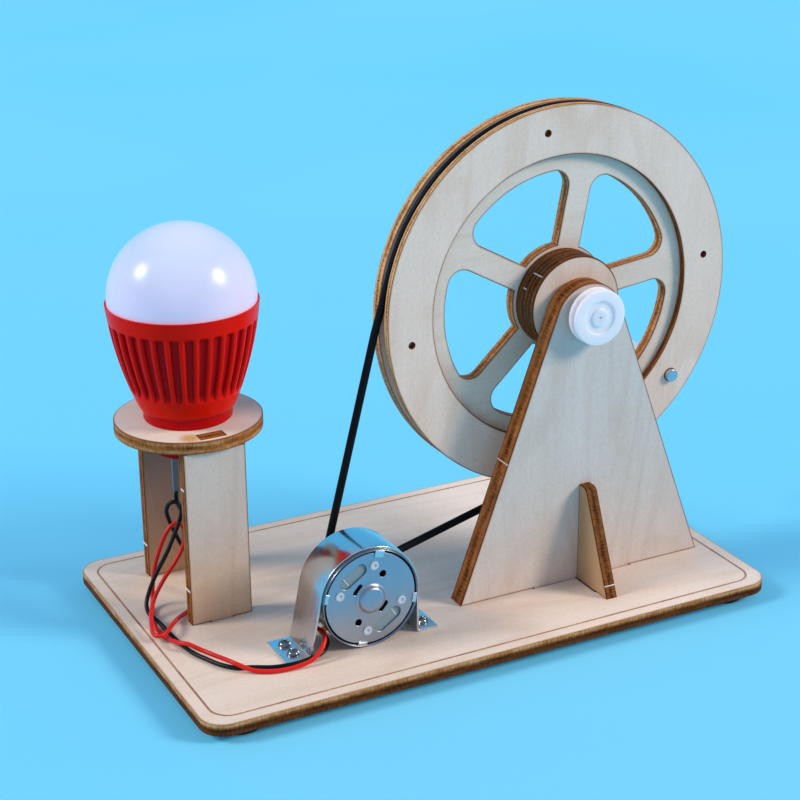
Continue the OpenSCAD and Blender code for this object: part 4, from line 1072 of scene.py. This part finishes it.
class GENERATOR_OT_axle(bpy.types.Operator):
    """Makes the axle, the white axle stop, the crank pin and its grip."""

    bl_idname = "generator.axle"
    bl_label = "Axle stop and crank"

    def execute(self, context):
        shape = context.scene.generator_wheel
        finish = steel("pin_steel", linear("C8CCD2"), 0.22, (700, 60, 700))
        self.stop(shape)
        self.rod(shape, finish)
        self.pin(shape, finish)
        self.grip(shape)
        return {"FINISHED"}

    def stop(self, shape):
        """Small pulley with a sunk face round a sleeve, and a bore closed up to a pinhole."""
        low, high = span("axle_stop")
        radius, width = half_width("axle_stop"), high[1] - low[1]
        groove, side = radius - 1.6 * MM, 1.1 * MM
        recess_r, recess, sleeve_r, bore = 4.0 * MM, 0.5 * MM, 2.2 * MM, shape.axle_r + SEAT
        pinhole, end = 0.2 * MM, 0.8 * MM
        corners = [(pinhole, 0), (sleeve_r, 0), (sleeve_r, recess), (recess_r, recess), (recess_r, 0),
                   (radius, 0), (radius, side), (groove, side), (groove, width - side),
                   (radius, width - side), (radius, width), (bore, width), (bore, end), (pinhole, end)]
        profile = softened(corners, 0.32 * MM, closed=True)
        points, faces = turned(profile, on_axis(AXLE, low[1]), Y, 128, True)
        white = plastic("stop_white", linear("FFF1F5"), 0.3, shine=0.4, glow=0.6, speckle=0.03)
        new_piece("axle_stop_turned", points, faces, white, "wheel", ("axle_stop",))

    def rod(self, shape, finish):
        """Axle with soft ends."""
        low, high = span("axle")
        end = high[1] - low[1]
        profile = softened([(0, 0), (shape.axle_r, 0), (shape.axle_r, end), (0, end)], 0.25 * MM)
        points, faces = turned(profile, on_axis(AXLE, low[1]), Y, 48)
        new_piece("axle_rod", points, faces, finish, "wheel", ("axle",))

    def pin(self, shape, finish):
        """Crank pin with a flange at its back end."""
        low, high = span("crank_pin")
        flange_r, flange = half_width("crank_pin"), 1.2 * MM
        end = high[1] - low[1]
        profile = softened([(0, 0), (shape.pin_r, 0), (shape.pin_r, end - flange), (flange_r, end - flange),
                            (flange_r, end), (0, end)], 0.22 * MM)
        points, faces = turned(profile, on_axis(PIN, low[1]), Y, 64)
        piece = new_piece("crank_pin_turned", points, faces, finish, "wheel", ("crank_pin",))

    def grip(self, shape):
        """Sleeve with a slight waist and soft ends: its radius less a squared sine along it."""
        low, high = span("crank_grip")
        radius, end, bore = half_width("crank_grip"), high[1] - low[1], shape.pin_r + RUN_PLAY
        waist, soft = 0.35 * MM, 0.5 * MM
        h = np.linspace(0, end, 33)
        side = np.column_stack((radius - waist * np.sin(np.pi * h / end) ** 2, h))
        profile = np.vstack((softened([(bore, 0), (radius - soft, 0), side[1]], soft), side[2:-2],
                             softened([side[-2], (radius - soft, end), (bore, end)], soft)))
        points, faces = turned(profile, on_axis(PIN, low[1]), Y, 96, True)
        white = plastic("grip_white", linear("E9EBEE"), 0.4, shine=0.45, glow=0.15)
        new_piece("crank_grip_turned", points, faces, white, "grip", ("crank_grip",))


class GENERATOR_OT_belt(bpy.types.Operator):
    """Makes the round belt over the wheel and the motor's pulley, and the pulley."""

    bl_idname = "generator.belt"
    bl_label = "Belt and pulley"

    def execute(self, context):
        look = context.scene.generator_cords
        points, faces = self.belt(look.belt_d)
        rubber = plastic("belt_rubber", look.rubber, 0.5, shine=0.12)
        new_piece("round_belt", points, faces, rubber, "frame", ("drive_belt",))
        low, high = span("motor_pulley")
        radius, width = half_width("motor_pulley"), high[1] - low[1]
        floor_r, flange, bore = PULLEY_FLOOR_R, MM, MM + SEAT
        corners = [(bore, 0), (radius, 0), (radius, flange), (floor_r, flange), (floor_r, width - flange),
                   (radius, width - flange), (radius, width), (bore, width)]
        profile = softened(corners, 0.2 * MM, closed=True)
        points, faces = turned(profile, on_axis(MOTOR, low[1]), Y, 96, True)
        white = plastic("pulley_white", linear("EDEFF2"), 0.4, shine=0.45, glow=0.2)
        new_piece("pulley_turned", points, faces, white, "rotor", ("motor_pulley",))
        return {"FINISHED"}

    def belt(self, diameter):
        """A ring carried round the wheel's groove and the pulley, with straight runs between.

        A point is the centre line plus the ring's cosine outwards plus its sine along Y.
        """
        rim_r = half_width("wheel_back_ring")
        wheel_r = half_width("wheel_spoked_disc") + BELT_PLAY + diameter / 2
        pulley_r = PULLEY_FLOOR_R + BELT_PLAY + diameter / 2
        wheel, pulley = AXLE[[0, 2]], MOTOR[[0, 2]]
        groove_y, pulley_y = middle("wheel_spoked_disc")[1], middle("motor_pulley")[1]
        away = math.atan2(*(pulley - wheel)[::-1])
        open_a = math.acos((wheel_r - pulley_r) / np.linalg.norm(pulley - wheel))
        clear = math.sqrt((rim_r + diameter) ** 2 - wheel_r ** 2)
        first, last = away + open_a, away + FULL_TURN - open_a
        round_wheel = arc(wheel, wheel_r, first, last, 160)
        round_pulley = arc(pulley, pulley_r, away - open_a, away + open_a, 32)
        meet = round_wheel[0] + clear * np.array((math.sin(first), -math.cos(first)))
        leave = round_wheel[-1] - clear * np.array((math.sin(last), -math.cos(last)))
        flat = np.vstack((meet, round_wheel, leave, round_pulley))
        out = np.concatenate(((first,), np.linspace(first, last, len(round_wheel)), (last,),
                              np.linspace(away - open_a, away + open_a, len(round_pulley))))
        in_groove = np.arange(len(flat)) < len(flat) - len(round_pulley)
        depth = np.where(in_groove, groove_y, pulley_y)
        line = np.column_stack((flat[:, 0], depth, flat[:, 1]))
        outwards = np.column_stack((np.cos(out), np.zeros(len(out)), np.sin(out)))
        a = np.linspace(0, FULL_TURN, 16, endpoint=False)
        ring = np.cos(a)[None, :, None] * outwards[:, None] + np.sin(a)[None, :, None] * Y
        points = line[:, None] + diameter / 2 * ring
        return points.reshape(-1, 3), grid_quads(len(line), len(a), True, True)


class GENERATOR_OT_motor(bpy.types.Operator):
    """Makes the motor's can, its end cap with boss and pegs, and dresses what is inside."""

    bl_idname = "generator.motor"
    bl_label = "Motor"

    def execute(self, context):
        look = context.scene.generator_motor
        wall = 0.5 * MM
        inner = half_width("motor_can") - wall
        self.can(look, wall)
        # Painted highlight: the crimps' steel is much lighter than the can's.
        self.crimps(inner, steel("crimp_steel", linear("DCDFE3"), 0.22, (500, 30, 500)))
        self.cap(look, inner)
        self.pegs(look)
        self.pads(look)
        self.inside()
        return {"FINISHED"}

    def can(self, look, wall):
        """Drawn cup with a bevelled front edge and a hole for the bush in its bottom."""
        radius, bush_r, bevel, rise = half_width("motor_can"), 2.22 * MM, 0.2 * MM, 0.1 * MM
        inner, bottom = radius - wall, MOTOR_BACK - wall
        corners = [(inner, MOTOR_FRONT + wall), (radius - bevel, MOTOR_FRONT), (radius, MOTOR_FRONT + rise),
                   (radius, MOTOR_BACK), (bush_r, MOTOR_BACK), (bush_r, bottom), (inner, bottom)]
        profile = softened(corners, 0.2 * MM, closed=True)
        points, faces = turned(profile, on_axis(MOTOR, 0), Y, 160, True)
        # Painted reflection: the can's steel is darker than the cap and strap, so that its rim shows as a
        # dark line.
        finish = steel("motor_can_steel", look.can, 0.27, (500, 30, 500))
        new_piece("motor_can_drawn", points, faces, finish, "frame", ("motor_can",))

    def inside(self):
        """Finishes of what the can and the cap hold."""
        # Painted shade: the brush plate is near black so that the cap's holes and slots look black.
        dress(plastic("brush_plate_painted_shade", linear("121517"), 0.6, shine=0.2), "motor_brush_plate")
        brass = steel("contact_brass", linear("C9A85C"), 0.3, (300, 300, 300))
        dress(brass, "motor_tags", "motor_brushes", "commutator")
        bronze = steel("bush_bronze", linear("A98153"), 0.4, (300, 300, 300))
        dress(bronze, "motor_bush_front", "motor_bush_rear")
        dress(steel("core_iron", linear("7C7F86"), 0.45, (60, 2500, 60)), "rotor_core")
        dress(plastic("magnet_ferrite", linear("2E2E31"), 0.6), "motor_magnet")
        dress(steel("coil_copper", linear("B5663A"), 0.35, (2600, 60, 2600)), "rotor_coils")
        dress(steel("shaft_steel", linear("C8CCD2"), 0.22, (700, 60, 700)), "motor_shaft")

    def crimps(self, inner, finish):
        """Four tabs of the can's edge that are bent in over the cap: ring sectors with soft corners."""
        width, overlap = 2.4 * MM, 0.3 * MM
        half = math.asin(width / 2 / inner)
        place = upright(*on_axis(MOTOR, MOTOR_FRONT))
        parts = []
        for degrees, reach in ((78, 1.5 * MM), (168, 0.7 * MM), (258, 0.7 * MM), (348, 0.7 * MM)):
            a = math.radians(degrees)
            sector = np.vstack((arc((0, 0), inner + overlap, a - half, a + half, 8),
                                arc((0, 0), inner - reach, a + half, a - half, 8)))
            parts.append(cut_sheet([sector], CAP_SUNK, place, round_off=0.12 * MM, singe=0.2 * MM)[:2])
        points, faces = joined(parts)
        new_piece("motor_crimps", points, faces, finish, "frame")

    def cap(self, look, inner):
        """Cap sheet with its slots and holes, and a boss turned from a soft profile."""
        front = on_axis(MOTOR, MOTOR_FRONT + CAP_SUNK)
        thickness, boss_h = 0.4 * MM, front[1] - span("motor_cap")[0][1]
        hole_r, hole_circle, hole_a = 0.85 * MM, 6.4 * MM, math.radians(60)
        vent = self.oblong(7.6 * MM, 3.1 * MM, 16)
        slot, slot_r, slot_a = self.oblong(3 * MM, 1.15 * MM, 8), 4.3 * MM, math.radians(139)
        outlines = [circle(inner - 0.3 * MM, 200)]
        for half_turn in (0, math.pi):
            a = hole_a + half_turn
            outlines += [self.turned_to(vent, VENT_A + half_turn, VENT_R),
                         self.turned_to(slot, slot_a + half_turn, slot_r),
                         circle(hole_r, 32, (hole_circle * math.cos(a), hole_circle * math.sin(a)))]
        sheet = cut_sheet(outlines, thickness, upright(*front), round_off=0.08 * MM, singe=0.2 * MM)[:2]
        boss = np.array(((3.95, 0.02), (3.7, 0.1), (3.45, 0.22), (3.28, 0.42), (3.16, 0.7), (3.02, 0.98),
                         (2.8, 1.18), (2.45, 1.28), (2.0, 1.3), (0, 1.3)))
        points, faces = joined([sheet, turned(boss * (MM, boss_h / boss[:, 1].max()), front, -Y, 96)])
        finish = steel("cap_steel", look.cap, 0.36, (900, 900, 900), depth=0.003 * MM)
        new_piece("motor_cap_pressed", points, faces, finish, "frame", ("motor_cap",))

    def oblong(self, reach, width, steps):
        """Outline with round ends that lies along the first axis."""
        ends = (reach - width) / 2
        return np.vstack((arc((ends, 0), width / 2, -QUARTER_TURN, QUARTER_TURN, steps),
                          arc((-ends, 0), width / 2, QUARTER_TURN, 3 * QUARTER_TURN, steps)))

    def turned_to(self, outline, angle, radius):
        """Outline moved out along a direction and laid across it."""
        c, s = math.cos(angle), math.sin(angle)
        across = np.array((-s, c))
        out = np.array((c, s))
        return outline[:, :1] * across + outline[:, 1:] * out + radius * out

    def pads(self, look):
        """Raised pads of the brush plate under the cap's oblong slots, and a thin pale rib across each as a
        painted glint.
        """
        plate = span("motor_brush_plate")[0][1]
        face, rib_h = MOTOR_FRONT + 0.95 * MM, 0.12 * MM
        pad = rectangle((0, 0), 8.4 * MM, 3.4 * MM)
        rib = rectangle((2.1 * MM, 0), 0.22 * MM, 2.3 * MM)
        # Painted highlight: the ribs' pale colour stands for a glint along the moulding.
        painted_glint = plastic("rib_painted_glint", linear("D8DEE2"), 0.4)
        grey = plastic("brush_pads", look.moulding, 0.5)
        for name, flat, front, finish in (("brush_plate_pads", pad, face, grey),
                                          ("brush_plate_glint_ribs", rib, face - rib_h, painted_glint)):
            place = upright(*on_axis(MOTOR, front))
            parts = []
            for half_turn in (0, math.pi):
                outline = self.turned_to(flat, VENT_A + half_turn, VENT_R)
                sheet = cut_sheet([outline], plate - front, place, round_off=0.03 * MM, singe=0.05 * MM)
                parts.append(sheet[:2])
            points, faces = joined(parts)
            new_piece(name, points, faces, finish, "frame")

    def pegs(self, look):
        """Low round pegs with a sunk middle."""
        radius, circle_r, height = 1.1 * MM, 8.2 * MM, 0.3 * MM
        root = span("motor_rivets")[0][1] + height
        profile = np.array(((1, 0), (1, 0.16), (0.97, 0.26), (0.82, 0.3), (0.45, 0.3), (0.36, 0.24),
                            (0.3, 0.08), (0, 0.06))) * (radius, MM)
        parts = []
        for degrees in (83, 164, 263, 344):
            a = math.radians(degrees)
            place = np.array((MOTOR[0] + circle_r * math.cos(a), root, MOTOR[2] + circle_r * math.sin(a)))
            parts.append(turned(profile, place, -Y, 48))
        points, faces = joined(parts)
        finish = plastic("peg_white", look.peg, 0.45)
        new_piece("motor_pegs", points, faces, finish, "frame", ("motor_rivets",))


class GENERATOR_OT_bracket(bpy.types.Operator):
    """Makes the bent strap over the motor and its screws."""

    bl_idname = "generator.bracket"
    bl_label = "Bracket and screws"

    def execute(self, context):
        look = context.scene.generator_motor
        low, high = span("motor_bracket")
        t = look.strap_t
        foot = 5 * MM
        radius = high[0] - MOTOR[0] - foot - t / 2
        centre = np.array((0.0, MOTOR[2] - BOARD_TOP))
        bend = np.array((-15.2 * MM, t / 2))
        turn = touch_angle(bend, centre, radius, -1) + FULL_TURN
        corners = np.vstack(((low[0] - MOTOR[0], t / 2), bend, arc(centre, radius, turn, 0, 64),
                             (radius, t / 2), (high[0] - MOTOR[0], t / 2)))
        line = softened(corners, look.bend_r, 5)
        slope = np.gradient(line, axis=0)
        slope /= np.linalg.norm(slope, axis=1, keepdims=True)
        normal = np.column_stack((-slope[:, 1], slope[:, 0]))
        width = high[1] - low[1]
        section = rounded_rectangle(t, width, 0.12 * MM, 3)
        path = np.column_stack((line[:, 0] + MOTOR[0], np.full(len(line), (low[1] + high[1]) / 2),
                                line[:, 1] + BOARD_TOP))
        out = np.column_stack((normal[:, 0], np.zeros(len(line)), normal[:, 1]))
        points = path[:, None] + section[None, :, :1] * out[:, None] + section[None, :, 1:] * Y
        n = len(section)
        quads = grid_quads(len(path), n, False, True).tolist()
        ends = [list(range(n))[::-1], [len(points) * n - n + k for k in range(n)]]
        dull = (2, MOTOR[2] + 10 * MM, MOTOR[2] + 4 * MM, 1.45)
        finish = steel("strap_steel", look.strap, 0.17, (60, 2600, 60), depth=0.0015 * MM, dull=dull)
        piece = new_piece("motor_strap", points.reshape(-1, 3), quads + ends, finish, "frame",
                          ("motor_bracket",))
        self.screws(t)
        return {"FINISHED"}

    def screws(self, t):
        """Pan heads with a sunk cross: the head's height less a smooth trench along two lines.

        The trench runs out near the head's rim, and each cross is twisted by an angle of its own.
        """
        low, high = span("bracket_screws")
        radius, height, trench, sunk = 1.5 * MM, 1.1 * MM, 0.24 * MM, 0.55 * MM
        cross_r, run_out = 0.72 * radius, 0.12 * radius
        r = np.concatenate((np.linspace(0, 0.8, 22), np.linspace(0.83, 1.0, 10))) * radius
        a = np.linspace(0, FULL_TURN, 72, endpoint=False)
        rr, aa = np.meshgrid(r, a, indexing="ij")
        crown = height * np.sqrt(np.clip(1 - (rr / (1.02 * radius)) ** 4, 0, 1))
        reach = np.clip((cross_r - rr) / run_out, 0, 1)
        skirt = np.column_stack((circle(radius, len(a)), np.zeros(len(a))))
        quads = grid_quads(len(r) + 1, len(a), False, True)[:, ::-1]
        parts = []
        for x in (low[0] + radius, high[0] - radius):
            for y in (low[1] + radius, high[1] - radius):
                twist = math.radians(35) + 40 * (x - y) / MM
                u, v = rr * np.cos(aa + twist), rr * np.sin(aa + twist)
                near = np.minimum(np.abs(u), np.abs(v))
                z = crown - sunk * np.clip(1.6 - near / trench, 0, 1) * reach
                top = np.column_stack(((rr * np.cos(aa)).ravel(), (rr * np.sin(aa)).ravel(), z.ravel()))
                parts.append((np.vstack((top, skirt)) + (x, y, BOARD_TOP + t), quads))
        points, faces = joined(parts)
        # Painted reflection: the screws' steel is darkened for the dark reflections in their heads.
        finish = steel("screw_steel", linear("8E9196"), 0.14, (400, 400, 400))
        piece = new_piece("bracket_screw_heads", points, faces, finish, "frame", ("bracket_screws",))


class GENERATOR_OT_lamp(bpy.types.Operator):
    """Makes the fluted lamp body and the frosted dome, and dresses the parts inside."""

    bl_idname = "generator.lamp"
    bl_label = "Lamp"

    def execute(self, context):
        look = context.scene.generator_lamp
        self.body(look)
        self.dome(look)
        dress(steel("leg_steel", linear("8A939F"), 0.2, (500, 500, 60)), "lamp_legs")
        dress(plastic("board_green", linear("1C4A2C"), 0.5), "lamp_board")
        dress(plastic("chip_yellow", linear("E2CB70"), 0.4), "lamp_chips")
        return {"FINISHED"}

    def body(self, look):
        """A turned profile whose radius is lowered in flutes.

        The side goes straight from shoulder to rim plus a parabola outwards. Between the flutes stand ridges
        with a rounded crown; a flute lowers the side by its depth in a window along it. Painted shade darkens
        the flutes as deep as they sink, and the foot below the shoulder.
        """
        low, high = span("lamp_body")
        top = DISC_TOP
        rim_r, rim_z, root = half_width("lamp_body"), high[2] - top, low[2] - top
        neck_r, neck_h, shoulder_r, shoulder_h = 10.6 * MM, 2.4 * MM, 11.6 * MM, 1.1 * MM
        plug_r, lip, skirt = 9 * MM, 0.5 * MM, 1.5 * MM
        foot = softened([(0, root), (plug_r, root), (plug_r, 0), (neck_r, 0), (neck_r, neck_h),
                         (shoulder_r - 0.55 * MM, neck_h + 0.25 * MM), (shoulder_r, neck_h + shoulder_h)],
                        0.5 * MM, 5)
        s = np.linspace(0, 1, 97)
        low_point = np.array((shoulder_r, neck_h + shoulder_h))
        chord = np.array((rim_r, rim_z)) - low_point
        out = np.array((chord[1], -chord[0])) / np.linalg.norm(chord)
        side = low_point + s[:, None] * chord + look.bulge * 4 * (s * (1 - s))[:, None] * out
        inside = softened([side[-1], (rim_r - 0.1 * MM, rim_z), (rim_r - lip, rim_z),
                           (rim_r - lip, rim_z - skirt), (0, rim_z - skirt)], 0.12 * MM, 3)[1:]
        profile = np.vstack((foot[:-1], side, inside))
        along = np.concatenate((np.full(len(foot) - 1, -1.0), s, np.full(len(inside), 2.0)))
        ridge = np.sin(np.linspace(-QUARTER_TURN, QUARTER_TURN, 13))
        roundness = 2.2
        across = np.append(ridge * (1 - look.width) / 2, 0.5)
        crown = np.append((1 - np.abs(ridge) ** roundness) ** (1 / roundness), 0.0)
        a = (np.arange(look.flutes)[:, None] + across).ravel() * FULL_TURN / look.flutes
        start, run_in, stop, run_out = 0.17, 0.09, 0.85, 0.03
        rise = np.clip((along - start) / run_in, 0, 1) ** 0.6
        fall = np.clip((stop - along) / run_out, 0, 1)
        sunk = look.depth * (rise * fall)[:, None] * (1 - np.tile(crown, look.flutes))[None]
        radius = profile[:, 0, None] - sunk
        height = np.broadcast_to(profile[:, 1, None], radius.shape)
        points = np.stack((radius * np.cos(a), radius * np.sin(a), height), axis=-1).reshape(-1, 3)
        points = points + (LAMP[0], LAMP[1], top)
        faces = grid_quads(len(profile), len(a), False, True)
        # Painted shade: darker red in the flutes in step with their depth, and on the foot.
        shade = np.maximum(sunk / look.depth, np.where(along < 0, 0.9, 0.0)[:, None]).ravel()
        finish = plastic("lamp_red", look.body, 0.28, shine=0.06, glow=0.06, speckle=0.05,
                         shaded=linear("BA0810"))
        piece = new_piece("lamp_body_moulded", points, faces, finish, "frame", ("lamp_body",), burn_and_shade=shade)

    def dome(self, look):
        """A quarter circle turned to a half sphere, over a short skirt inside the rim."""
        low, high = span("lamp_dome")
        radius = half_width("lamp_dome")
        wall = 1.2 * MM
        equator = high[2] - radius
        outer = arc((0, equator), radius, 0, QUARTER_TURN, 48)
        inner = arc((0, equator), radius - wall, QUARTER_TURN, 0, 32)
        profile = np.vstack(((radius - wall, low[2]), (radius, low[2]), outer, inner))
        points, faces = turned(profile, np.array((LAMP[0], LAMP[1], 0)), Z, 160, True)
        # Painted shade: the dome's lower part takes the lavender shaded colour, more so further down.
        finish = plastic("dome_frosted", look.dome, 0.24, shine=0.4, glow=0.2, speckle=0.02,
                         shaded=linear("FFDFF4"))
        low_down = np.clip((equator + 0.75 * radius - points[:, 2]) / (0.85 * radius), 0, 1)
        piece = new_piece("lamp_dome_moulded", points, faces, finish, "frame", ("lamp_dome",), burn_and_shade=low_down)


class GENERATOR_PT_panel(bpy.types.Panel):
    """Lists the looks and what makes each piece."""

    bl_idname = "GENERATOR_PT_panel"
    bl_label = "Hand crank generator"
    bl_space_type = "VIEW_3D"
    bl_region_type = "UI"
    bl_category = "Generator"

    def draw(self, context):
        for group in GROUPS:
            box = self.layout.box()
            look = getattr(context.scene, group)
            for key in look.__annotations__:
                box.prop(look, key)
        for operator in OPERATORS:
            self.layout.operator(operator.bl_idname)


GROUPS = {
    "generator_ply": PlyLook,
    "generator_wheel": WheelShape,
    "generator_motor": MotorLook,
    "generator_lamp": LampLook,
    "generator_cords": CordLook,
    "generator_stage": StageLook,
}
OPERATORS = (
    GENERATOR_OT_stage,
    GENERATOR_OT_wires,
    GENERATOR_OT_base,
    GENERATOR_OT_support,
    GENERATOR_OT_lamp_stand,
    GENERATOR_OT_wheel,
    GENERATOR_OT_nubs,
    GENERATOR_OT_axle,
    GENERATOR_OT_belt,
    GENERATOR_OT_motor,
    GENERATOR_OT_bracket,
    GENERATOR_OT_lamp,
)


def register():
    """Registers the looks, the operators and the panel."""
    for name, group in GROUPS.items():
        bpy.utils.register_class(group)
        setattr(bpy.types.Scene, name, PointerProperty(type=group))
    for made in (*OPERATORS, GENERATOR_PT_panel):
        bpy.utils.register_class(made)


def unregister():
    """Takes everything out again."""
    for made in (GENERATOR_PT_panel, *reversed(OPERATORS)):
        bpy.utils.unregister_class(made)
    for name, group in reversed(GROUPS.items()):
        delattr(bpy.types.Scene, name)
        bpy.utils.unregister_class(group)


def main():
    """Builds every piece."""
    register()
    for operator in OPERATORS:
        getattr(bpy.ops.generator, operator.bl_idname.split(".")[1])()


if __name__ == "__main__":
    main()
